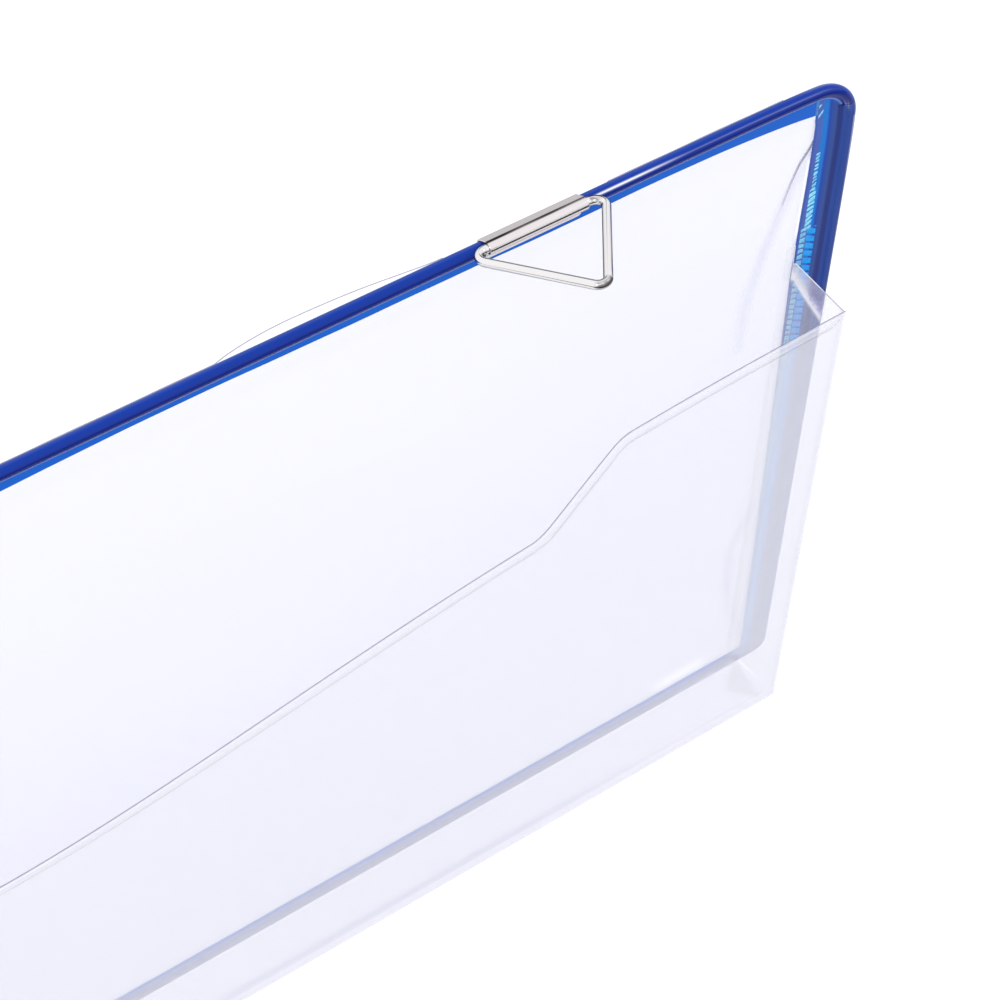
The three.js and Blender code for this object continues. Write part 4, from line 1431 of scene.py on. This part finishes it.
    def free_edge(self, length: Array) -> Array:
        """The height of the pocket's free edge at a distance from the nearer end.

        It is straight in three stretches, with a parabola of twice the rounding's length at each bend.
        """
        shoulder = POCKET.shoulder_length
        foot = shoulder + POCKET.slope_length
        slope = (POCKET.low_drop - POCKET.shoulder_drop - POCKET.shoulder_fall) / POCKET.slope_length
        level = -POCKET.shoulder_drop - POCKET.shoulder_fall / shoulder * np.minimum(length, shoulder)
        return level - slope * (self.soft_ramp(length - shoulder) - self.soft_ramp(length - foot))

    def soft_ramp(self, value: Array) -> Array:
        """max(value, 0) with its bend rounded into a parabola."""
        rounding = POCKET.rounding
        bent = (value + rounding) ** 2 / (4 * rounding)
        return np.where(value <= -rounding, 0, np.where(value >= rounding, value, bent))

    def bulge(self, width_share: Array, height_share: Array) -> Array:
        """How far the slack front bows out: a skewed half sine across, and a power of the height."""
        across = np.sin(np.pi * (1 - width_share) ** POCKET.bulge_skew)
        return POCKET.bulge * np.maximum(across, 0) * np.minimum(height_share, 1) ** POCKET.bulge_rise

    def pocket_front(self) -> None:
        """Builds the pocket's front, with the pressed line beside its free edge and its lapped foot."""
        marks = FRONT_MARKS
        share = np.linspace(0, 1, self.front_steps)
        top = self.free_edge(np.minimum(share, 1 - share) * 2 * self.front_half)
        foot_rows = np.linspace(0, self.foot_zone, self.foot_steps)
        edge_rows = np.linspace(self.edge_zone, 0, self.edge_steps)
        span = top[:, None] - self.crease_z
        middle = np.linspace(0, 1, self.middle_steps)[None, 1:-1] * (span - self.edge_zone - self.foot_zone)
        low_rows = np.broadcast_to(foot_rows, (len(share), len(foot_rows)))
        rise = np.concatenate([low_rows, self.foot_zone + middle, span - edge_rows[None, :]], axis=1)
        z = self.crease_z + rise
        x = np.broadcast_to((-self.front_half + share * 2 * self.front_half)[:, None], z.shape)
        height_share = (z - self.crease_z) / (-POCKET.low_drop - self.crease_z)
        steep = np.abs(np.gradient(top, x[:, 0]))[:, None]
        from_edge = (top[:, None] - z) / np.sqrt(1 + steep**2) / MM
        end_gap = np.minimum(x + self.front_half, self.front_half - x) / MM
        foot = (z - self.crease_z) / MM
        from_hook = from_edge - marks.hook_place(end_gap)
        # The pressed line's painted highlight and the painted shade below it.
        line = sum(marks.line(mark, from_hook) for mark in marks.hook_lines)
        # A painted highlight along the lap at the foot.
        lap = marks.line(marks.lap, foot)
        frost = 0.06 * (1 - smooth_step(*marks.edge_frost, from_edge)) + 0.07 * marks.foot_streaks(x / MM, foot)
        frost = frost + 0.1 * (1 - smooth_step(*marks.foot_frost, foot))
        # Painted shade at the ends, along the foot's crease and beside the lap.
        fold = 0.12 * bell(end_gap, 0.8) + 0.15 * bell(foot, 0.5) + 0.08 * lap
        y = -POCKET.depth - self.bulge(share[:, None], height_share)
        y = y + 0.12 * MM * bell(from_hook, marks.pressed_width) + 0.1 * MM * lap
        near = np.stack([x, y, z], axis=-1)
        # A painted highlight near the free edge.
        line = line + marks.line(marks.edge_line, from_edge)
        values = {"fold": np.clip(fold, 0, 1), "frost": np.clip(frost, 0, 1), "line": line}
        self.make("pocket_front", near, near + [0, FILM.thickness, 0], values, (1,))

    def floor_height(self, y: Array) -> Array:
        """The floor's lower face: a straight rise from the front crease to the bottom strip."""
        share = (y - self.inside_front) / (self.tab_front - self.inside_front)
        return self.crease_z + share * (self.floor_back - self.crease_z)

    def floor(self) -> None:
        """Builds the pocket's floor, with a welded lip along its back."""
        slope_y = np.linspace(self.inside_front, self.tab_front, self.slope_steps)
        lip_z = np.linspace(self.floor_back + FILM.thickness, self.lip, self.lip_steps)[1:]
        y = np.concatenate([slope_y, np.full(len(lip_z), self.tab_front)])
        z = np.concatenate([self.floor_height(slope_y) + FILM.thickness, lip_z])
        under_y = np.concatenate([slope_y[:-1], np.full(len(lip_z) + 1, self.tab_back)])
        under_z = np.concatenate([self.floor_height(slope_y), lip_z])
        share = np.clip((y - self.inside_front) / (self.tab_front - self.inside_front), 0, 1)
        front_end = self.front_half - FILM.thickness - POCKET.seam_gap
        back_end = self.weld_half - POCKET.bend - POCKET.seam_gap
        across = np.linspace(-1, 1, self.floor_steps)[:, None]
        x = across * (front_end + share * (back_end - front_end))
        near, far = (
            np.stack([x, np.broadcast_to(side_y, x.shape), np.broadcast_to(side_z, x.shape)], axis=-1)
            for side_y, side_z in ((y, z), (under_y, under_z))
        )
        lip = np.arange(len(y)) >= len(slope_y) - 1
        self.make("pocket_bottom_gusset", near, far, self.floor_marks(x / MM, near[..., 1] / MM, lip), ())

    def floor_marks(self, x: Array, y: Array, lip: Array) -> Values:
        """The floor's looks: folds and streaks along it, and a broken painted highlight line near the bottom
        strip.

        Args:
            x: the grid's x, in millimetres.
            y: the grid's y, in millimetres.
            lip: which columns lie on the welded lip.

        Returns:
            Arrays of the grid's shape, by name.
        """
        streak = bell(y + 13.2, 0.8) * np.clip(np.sin(x * 0.02 + 1) + 0.4, 0, 1)
        lines = np.sin(y * 2.1) * np.sin(y * 5.3 + 0.4) * (0.6 + 0.4 * np.sin(x * 0.03))
        fold = np.clip(0.46 + 0.3 * streak + 0.1 * lines, 0, 1)
        to_back = y - self.tab_front / MM
        # The dashes of the painted highlight line.
        dashes = np.clip(np.sin(x * 1.7) + np.sin(x * 0.73 + 1.0), 0, 1) * smooth_step(134, 142, np.abs(x))
        return {
            "fold": np.where(lip, 0.0, fold),
            "frost": 0.3 * streak + 0.1 * np.abs(lines),
            "line": 0.9 * bell(to_back + 1.5, 0.4) * dashes,
            "bare": np.where(lip, 0.45, 0.3 * smooth_step(-3.5, -0.5, to_back)),
        }

    def gusset_path(self) -> Array:
        """The side gusset's section from the tab's free edge to the front crease, as (x, y)."""
        tab_outer = self.weld_half - POCKET.bend
        tab_x = np.linspace(self.weld_half - POCKET.tab_width, tab_outer, self.tab_steps)
        tab = np.stack([tab_x, np.full_like(tab_x, self.tab_back)], axis=1)
        t = np.linspace(0, 1, self.bend_steps)[1:, None]
        corners = np.array([[tab_outer, 0], [self.weld_half, 0], [self.weld_half, -POCKET.bend]])
        bend = (1 - t) ** 2 * corners[0] + 2 * t * (1 - t) * corners[1] + t**2 * corners[2] + [0, self.tab_back]
        end = np.array([self.front_half - FILM.thickness, self.inside_front])
        wall = bend[-1] + np.linspace(0, 1, self.wall_steps)[1:, None] * (end - bend[-1])
        return np.concatenate([tab, bend, wall])

    def gusset(self, side: Side) -> None:
        """Builds one side gusset."""
        path = self.gusset_path()
        way = np.gradient(path, axis=0)
        way = way / np.linalg.norm(way, axis=1)[:, None]
        inner = path + FILM.thickness * np.stack([way[:, 1], -way[:, 0]], axis=1)
        share = 1 - (1 - np.linspace(0, 1, self.gusset_steps)) ** self.gusset_crowding
        faces = []
        for points in (inner, path):
            top, bottom = self.gusset_top(points), self.gusset_bottom(points)
            z = bottom[:, None] + share[None, :] * (top - bottom)[:, None]
            x = np.broadcast_to(side.value * points[:, :1], z.shape)
            y = np.broadcast_to(points[:, 1:], z.shape)
            faces.append(np.stack([x, y, z], axis=-1))
        near, far = faces
        values = GussetMarks().values(np.abs(near[..., 0]) / MM, -near[..., 1] / MM, near[..., 2] / MM)
        self.make(f"pocket_side_gusset_{side.word}", near, far, values, (1,))

    def gusset_top(self, points: Array) -> Array:
        """The gusset's free top: a round cornered flap on the tab, then a straight fall to the front."""
        along = points[:, 0] - (self.weld_half - POCKET.tab_width)
        short = np.clip(POCKET.tab_corner - along, 0, POCKET.tab_corner)
        flap = -POCKET.tab_top - POCKET.tab_corner + np.sqrt(POCKET.tab_corner**2 - short**2)
        share = np.clip((self.tab_front - points[:, 1]) / (self.tab_front - self.inside_front), 0, 1)
        fall = -POCKET.gusset_top - share * (POCKET.shoulder_drop - POCKET.gusset_top)
        return np.where(along <= POCKET.tab_width - POCKET.bend, flap, fall)

    def gusset_bottom(self, points: Array) -> Array:
        """The gusset's foot, a seam's gap above the floor or its lip."""
        floor_top = self.floor_height(np.maximum(points[:, 1], self.inside_front)) + FILM.thickness
        lip = points[:, 1] > self.tab_front - POCKET.fold_gap
        return np.where(lip, self.lip, floor_top) + POCKET.seam_gap

    def tuck(self, side: Side) -> None:
        """Builds a corner tuck: the film's spare corner, folded flat on the floor as a triangle."""
        front = self.inside_front + POCKET.fold_gap
        back = self.tab_front - POCKET.bend
        inner = self.weld_half - FILM.thickness - POCKET.fold_gap
        tip = [inner - POCKET.tuck_reach, (front + back) / 2]
        corners = np.array([[inner, front], [inner - POCKET.bend, back], tip])
        s = np.linspace(0, 1, self.tuck_steps)[:, None, None]
        t = np.linspace(0, 1, self.tuck_steps)[None, :, None]
        flat = corners[0] * (1 - s) + (corners[1] * (1 - t) + corners[2] * t) * s
        z = self.floor_height(flat[..., 1]) + FILM.thickness + POCKET.fold_gap
        near = np.stack([side.value * flat[..., 0], flat[..., 1], z], axis=-1)
        level = np.ones(z.shape)
        # Painted shade along the edge that runs to the tuck's tip.
        fold = 0.2 * bell(t[..., 0] - 1, 0.06) * s[..., 0]
        values = {"fold": fold, "frost": 0.05 * level, "bare": 0.6 * level}
        self.make(f"pocket_corner_tuck_{side.word}", near, near + [0, 0, FILM.thickness], values, ())

    def build(self) -> None:
        """Builds every film piece."""
        self.back_panel()
        self.pocket_front()
        self.floor()
        for side in Side:
            self.gusset(side)
            self.tuck(side)


# Clips and rings


CLIP_ENDS = (0.0, 0.02, 0.05, 0.09, 0.14, 0.22, 0.35, 0.5, 0.7, 0.9, 1.1, 1.6)
# Where the clip's painted dark reflection lies on the hood over the ring's wire, in degrees round it.
CLIP_CREASE = ((48.0, 55.0), (88.0, 97.0))
ARC_STEPS, SLOPE_STEPS, LEG_STEPS, CLIP_STEPS = 40, 12, 14, 40
BEND_STEPS, WIRE_SIDES = 22, 36
# How strong the clip's painted dark reflection is along it: darker at its left end, with a slow wave.
CLIP_REFLECTION, REFLECTION_WAVE, REFLECTION_PACE, REFLECTION_FALL = 0.82, 0.12, 0.5, 0.012
# Painted dark reflections on the ring: inside the left base bend, on the right base bend and its edge, and over
# the apex, broken by a paler speck.
LEFT_MARK = Highlight(165.0, 34.0, 1.0)
RIGHT_MARK = Highlight(128.0, 38.0, 1.0)
RIGHT_EDGE = Highlight(72.0, 15.0, 1.0)
APEX_MARK = Highlight(26.0, 46.0, 1.0)
APEX_SPECK = Highlight(48.0, 15.0, 0.8)
SPECK_PLACE, SPECK_LENGTH = 0.25, 0.22
LEFT_RUN = ((-0.2, 0.5), (0.9, 1.0))
RIGHT_RUN = ((-1.0, -0.9), (-0.1, 0.45))
APEX_RUN = ((-1.0, -0.75), (0.45, 0.95))
RING_DARKNESS = 0.9


class Hanger:
    """One folded clip with its swinging ring.

    Args:
        side: left or right.
        finishes: the pocket's materials.
    """

    def __init__(self, side: Side, finishes: Finishes) -> None:
        self.side = side
        self.finishes = finishes
        self.centre_x = side.value * HANGER.pitch / 2
        elevation = HANGER.axis_elevation
        self.axis = HANGER.axis_distance * np.array([-math.cos(elevation), math.sin(elevation)])

    def arc(self, centre: Array, radius: float, start: float, end: float) -> Array:
        """Points on an arc in the plane of depth and height."""
        angle = np.linspace(start, end, ARC_STEPS)
        return centre + radius * np.stack([np.cos(angle), np.sin(angle)], axis=1)

    def band(self, line: Array, length: Array, tarnish: Array) -> list[Patch]:
        """A folded band of sheet carried along X, with its cut edges rounded.

        Each face lies half the sheet's thickness off the centre line, less at the cut edges by a quarter circle.

        Args:
            line: the centre line as (y, z), starting at a free leg.
            length: the stations along X.
            tarnish: how dark the painted reflection makes the plate at each point of the line.

        Returns:
            The band's patches.
        """
        way = np.gradient(line, axis=0)
        way = way / np.linalg.norm(way, axis=1)[:, None]
        square = np.stack([way[:, 1], -way[:, 0]], axis=1)
        edge = np.minimum(length - length[0], length[-1] - length)
        short = np.clip(HANGER.clip_edge - edge, 0, HANGER.clip_edge)
        half = HANGER.sheet / 2 - HANGER.clip_edge + np.sqrt(HANGER.clip_edge**2 - short**2)
        low = self.leg_low(edge)[:, None]
        faces = []
        for sign in (1, -1):
            flat = line[None, :, :] + sign * half[:, None, None] * square[None, :, :]
            x = np.broadcast_to(length[:, None], flat.shape[:2])
            faces.append(np.stack([x, flat[..., 0], np.maximum(flat[..., 1], low)], axis=-1))
        loop = np.concatenate([faces[0], faces[1][:, ::-1]], axis=1)
        ends = [Patch(np.stack([faces[0][row], faces[1][row]])) for row in (0, -1)]
        # The painted dark reflection is darker at the clip's left end, with a slow wave along it.
        along = (length - self.centre_x)[:, None] / MM
        strength_along = CLIP_REFLECTION + REFLECTION_WAVE * np.sin(along * REFLECTION_PACE) - REFLECTION_FALL * along
        dark = strength_along * np.concatenate([tarnish, tarnish[::-1]])[None, :]
        return [Patch(loop, 0, True, {"tarnish": np.clip(dark, 0, 1)}), *ends]

    def leg_low(self, edge: Array) -> Array:
        """A leg's low edge: level, with a quarter circle at each end of the clip."""
        short = np.clip(HANGER.leg_corner - edge, 0, HANGER.leg_corner)
        return -HANGER.leg_reach + HANGER.leg_corner - np.sqrt(HANGER.leg_corner**2 - short**2)

    def clip(self) -> None:
        """Builds the clip: a hood over the bead and the ring's wire, and a front leg."""
        bead_bend = FRAME.bead + HANGER.fit + HANGER.sheet / 2
        wire_bend = HANGER.wire + HANGER.fit + HANGER.sheet / 2
        leg_y = FRAME.ply + FILM.lay_gap + HANGER.sheet / 2
        leg_angle = math.acos(leg_y / bead_bend)
        toward = math.pi - HANGER.axis_elevation
        distance = HANGER.axis_distance
        tangent = toward - math.acos((bead_bend - wire_bend) / distance)
        along = (distance**2 + bead_bend**2 - wire_bend**2) / (2 * distance)
        valley_bead = math.acos(along / bead_bend)
        valley_wire = math.acos((distance - along) / wire_bend)
        bead = np.zeros(2)
        over_bead = self.arc(bead, bead_bend, -leg_angle, tangent)
        over_wire = self.arc(self.axis, wire_bend, tangent, toward + math.pi - valley_wire)
        slope = over_bead[-1] + np.linspace(0, 1, SLOPE_STEPS)[1:-1, None] * (over_wire[0] - over_bead[-1])
        leg = np.linspace(-HANGER.leg_reach, over_bead[0, 1], LEG_STEPS)[:-1]
        back_leg = np.stack([np.full_like(leg, leg_y), leg], axis=1)
        hood = np.concatenate([back_leg, over_bead, slope, over_wire])
        round_front = self.arc(bead, bead_bend, toward + valley_bead, math.pi + leg_angle)
        front_leg = np.concatenate([round_front, (back_leg * [-1, 1])[::-1]])
        near_end = HANGER.clip_length / 2 - np.array(CLIP_ENDS) * MM
        inner = np.linspace(-near_end[-1], near_end[-1], CLIP_STEPS)[1:-1]
        length = self.centre_x + np.concatenate([-near_end, inner, near_end[::-1]])
        # A painted dark reflection and shade along the hood over the ring's wire, below the roof.
        turn = np.degrees(np.linspace(tangent, toward + math.pi - valley_wire, ARC_STEPS))
        tarnish = np.concatenate([np.zeros(len(hood) - ARC_STEPS), window(turn, *CLIP_CREASE)])
        patches = self.band(hood, length, tarnish) + self.band(front_leg, length, np.zeros(len(front_leg)))
        node = f"clip_{self.side.word}"
        build_piece(f"{node}_sheet", patches, [self.finishes.satin], Role("root", "satin_nickel", node))

    def ring_path(self) -> tuple[Array, Array]:
        """The ring's path in its own plane: a triangle with three round bends.

        Returns:
            The path's points, of shape (stations, 2), and the outward direction at each.
        """
        corners = np.array([[-HANGER.base / 2, 0.0], [HANGER.base / 2, 0.0], [0.0, HANGER.height]])
        places, outs = [], []
        for number, radius in enumerate((HANGER.base_bend, HANGER.base_bend, HANGER.apex_bend)):
            corner = corners[number]
            before, after = corners[number - 1] - corner, corners[(number + 1) % 3] - corner
            before, after = before / np.linalg.norm(before), after / np.linalg.norm(after)
            half = math.acos(before @ after) / 2
            middle = (before + after) / np.linalg.norm(before + after)
            facing = math.atan2(-middle[1], -middle[0])
            sweep = math.pi / 2 - half
            angle = np.linspace(facing - sweep, facing + sweep, BEND_STEPS)
            out = np.stack([np.cos(angle), np.sin(angle)], axis=1)
            places.append(corner + middle * radius / math.sin(half) + radius * out)
            outs.append(out)
        place, out = np.concatenate([*places, places[0][:1]]), np.concatenate([*outs, outs[0][:1]])
        return place, out

    def ring(self) -> None:
        """Builds the ring: a round wire carried along its path, which leans out of the frame's plane."""
        place, out = self.ring_path()
        angle = np.linspace(0, 2 * np.pi, WIRE_SIDES, endpoint=False)
        sine, cosine = math.sin(HANGER.tilt), math.cos(HANGER.tilt)
        axes = np.array([[1.0, 0, 0], [0, sine, cosine], [0, -cosine, sine]])
        points = np.array([self.centre_x, *self.axis]) + tube(place, out, HANGER.wire, angle) @ axes
        # The ring's painted dark reflections.
        values = {"tarnish": self.ring_tarnish(len(points), np.degrees(angle))}
        side = self.side.word
        role = Role(f"{side}_ring", "bright_nickel", f"ring_{side}")
        build_piece(f"ring_{side}_wire", [Patch(points, 0, True, values)], [self.finishes.bright], role)

    def ring_tarnish(self, stations: int, angle: Array) -> Array:
        """The painted dark reflections in the ring's three bends: bells of the angle, faded along each bend.

        Args:
            stations: the number of stations round the ring, a third of them in each bend.
            angle: degrees round the wire, from its outer side up.

        Returns:
            The darkness, of shape (stations, angles).
        """
        around = (angle[None, :] + 180) % 360 - 180
        along = np.linspace(-1, 1, (stations - 1) // 3)[:, None]
        mottle = 0.55 + 0.45 * np.sin(along * 9.0 + around * 0.09) * np.sin(around * 0.17 + along * 5.0)
        left = LEFT_MARK.at(np.abs(around)) * mottle * window(along, *LEFT_RUN)
        right = (RIGHT_MARK.at(around) * mottle + RIGHT_EDGE.at(around)) * window(along, *RIGHT_RUN)
        speck = 1 - APEX_SPECK.at(around) * bell(along - SPECK_PLACE, SPECK_LENGTH)
        apex = APEX_MARK.at(around) * speck * window(along, *APEX_RUN)
        dark = RING_DARKNESS * np.concatenate([left, right, apex])
        return np.clip(np.concatenate([dark, dark[:1]]), 0, 1)

    def build(self) -> None:
        """Builds the clip and its ring."""
        self.clip()
        self.ring()


# Camera, light and floor


BACK_PANELS = ((-1.0, 0.95), (-0.1, 0.97), (0.0, 1.0), (1.0, 1.0))
FRONT_PANELS = ((-1.0, 0.95), (-0.1, 0.9), (0.0, 0.95), (0.2, 1.0), (1.0, 1.0))
FLOOR_PANELS = (
    (-1.0, 0.9),
    (-0.75, 0.9),
    (-0.62, 0.04),
    (-0.14, 0.04),
    (-0.09, 0.95),
    (0.27, 0.95),
    (0.42, 0.86),
    (1.0, 0.8),
)


@dataclass(frozen=True)
class Studio:
    """A white studio: the camera, lamps, world and floor."""

    camera_place: Point = (-84.61 * MM, -253.43 * MM, 309.43 * MM)
    camera_right: Point = (0.84170901, -0.53991612, -0.00406569)
    camera_up: Point = (0.43284162, 0.67024434, 0.6028438)
    camera_forward: Point = (0.32276008, 0.50917886, -0.79784887)
    lens: float = 75.6
    sensor: float = 36.0
    nearest: float = 0.01
    aim: Point = (0.0, 0.0, -0.11)
    floor_z: float = -0.32
    floor_half: float = 3.0
    floor_glow: Colour = (0.28, 0.28, 0.28)
    floor_white: Colour = (0.93, 0.93, 0.93)
    ambient: Colour = (0.86, 0.86, 0.93)
    board: Colour = (0.03, 0.03, 0.035)
    board_way: Point = (0.46, 0.84, 0.27)
    board_rim: float = 0.966
    board_middle: float = 0.982

    def put(self, thing: bpy.types.Object, basis: Array, place: Point) -> None:
        """Turns an object to a basis, moves it to its place and links it into the scene."""
        matrix = np.eye(4)
        matrix[:3, :3] = basis
        matrix[:3, 3] = place
        thing.matrix_world = Matrix(matrix.tolist())
        bpy.context.scene.collection.objects.link(thing)

    def camera(self) -> None:
        """Places the camera where the photograph was taken from."""
        data = bpy.data.cameras.new("camera")
        data.lens = self.lens
        data.sensor_width = self.sensor
        data.sensor_fit = "HORIZONTAL"
        data.clip_start = self.nearest
        camera = bpy.data.objects.new("camera", data)
        backward = [-part for part in self.camera_forward]
        self.put(camera, np.array([self.camera_right, self.camera_up, backward]).T, self.camera_place)
        bpy.context.scene.camera = camera

    def lamp(self, name: str, place: Point, size: float, watts: float) -> None:
        """Adds a soft square lamp that points at the pocket's middle.

        Args:
            name: the lamp's name.
            place: where it hangs.
            size: its side.
            watts: its power.
        """
        data = bpy.data.lights.new(name, "AREA")
        data.size = size
        data.energy = watts
        back = np.array(place) - np.array(self.aim)
        back = back / np.linalg.norm(back)
        side = np.cross([0.0, 0.0, 1.0], back)
        side = side / np.linalg.norm(side)
        self.put(bpy.data.objects.new(name, data), np.array([side, np.cross(back, side), back]).T, place)

    def seen(self, wire: Wiring, *rays: str) -> bpy.types.NodeSocket:
        """1 for the named kinds of ray, and 0 for the rest."""
        light = wire.add("ShaderNodeLightPath")
        total = light.outputs[rays[0]]
        for ray in rays[1:]:
            total = wire.maths("ADD", total, light.outputs[ray], clamp=True)
        return total

    def greys(self, wire: Wiring, factor: object, stops: tuple[Span, ...]) -> bpy.types.NodeSocket:
        """A ramp of greys over a factor that runs from -1 to 1."""
        place = wire.maths("MULTIPLY_ADD", factor, 0.5, 0.5, clamp=True)
        return wire.ramp(place, [(0.5 + 0.5 * at, (grey, grey, grey * 1.01)) for at, grey in stops])

    def world(self) -> None:
        """An even white world, with a dark board that only mirrored rays see, so that metal reads as metal."""
        world = bpy.data.worlds.new("studio")
        world.use_nodes = True
        bpy.context.scene.world = world
        wire = Wiring(world.node_tree)
        way = wire.add("ShaderNodeTexCoord").outputs["Generated"]
        parts = wire.add("ShaderNodeSeparateXYZ")
        wire.join(way, parts.inputs[0])
        back = self.greys(wire, parts.outputs["Z"], BACK_PANELS)
        front = self.greys(wire, parts.outputs["Z"], FRONT_PANELS)
        panels = wire.mix(wire.maths("MULTIPLY_ADD", parts.outputs["Y"], 4.0, 0.5, clamp=True), front, back)
        toward = wire.add("ShaderNodeVectorMath", operation="DOT_PRODUCT")
        wire.join(way, toward.inputs[0])
        wire.join(self.board_way, toward.inputs[1])
        share = wire.maths("SUBTRACT", toward.outputs["Value"], self.board_rim)
        board = wire.maths("DIVIDE", share, self.board_middle - self.board_rim, clamp=True)
        panels = wire.mix(board, panels, self.board)
        shade = wire.mix(self.seen(wire, "Is Glossy Ray"), self.ambient, panels)
        shade = wire.mix(self.seen(wire, "Is Camera Ray", "Is Transmission Ray"), shade, WHITE)
        wire.join(shade, world.node_tree.nodes["Background"].inputs["Color"])

    def floor(self) -> None:
        """A plain white floor below the pocket, which keeps a soft shadow."""
        half, z = self.floor_half, self.floor_z
        corners = [(-half, -half, z), (half, -half, z), (half, half, z), (-half, half, z)]
        mesh = bpy.data.meshes.new("floor")
        mesh.from_pydata(corners, [], [(0, 1, 2, 3)])
        floor = bpy.data.objects.new("floor", mesh)
        settings = {"Roughness": 1.0, "Specular_IOR_Level": 0.0, "Emission_Strength": 1.0}
        material, wire, shader = principled("floor_white", **settings)
        parts = wire.add("ShaderNodeSeparateXYZ")
        wire.join(wire.add("ShaderNodeTexCoord").outputs["Object"], parts.inputs[0])
        panels = self.greys(wire, wire.maths("DIVIDE", parts.outputs["Y"], half), FLOOR_PANELS)
        mirrored = self.seen(wire, "Is Glossy Ray")
        wire.join(wire.mix(mirrored, self.floor_white, BLACK), shader.inputs["Base Color"])
        glow = wire.mix(self.seen(wire, "Is Camera Ray", "Is Transmission Ray"), BLACK, self.floor_glow)
        wire.join(wire.mix(mirrored, glow, panels), shader.inputs["Emission Color"])
        mesh.materials.append(material)
        bpy.context.scene.collection.objects.link(floor)

    def build(self) -> None:
        """Builds the whole studio."""
        bpy.context.scene.view_settings.view_transform = "Standard"
        self.camera()
        self.world()
        self.floor()
        self.lamp("key", (-0.5, -0.7, 0.9), 0.7, 2.2)
        self.lamp("fill", (0.8, -0.3, 0.6), 0.5, 0.8)


def main() -> None:
    """Builds the studio and the pocket, in order."""
    logging.basicConfig(level=logging.INFO, format="%(name)s %(message)s")
    Studio().build()
    finishes = Finishes()
    Binding(FRAME, finishes).build()
    Film(finishes).build()
    for side in Side:
        Hanger(side, finishes).build()


if __name__ == "__main__":
    main()
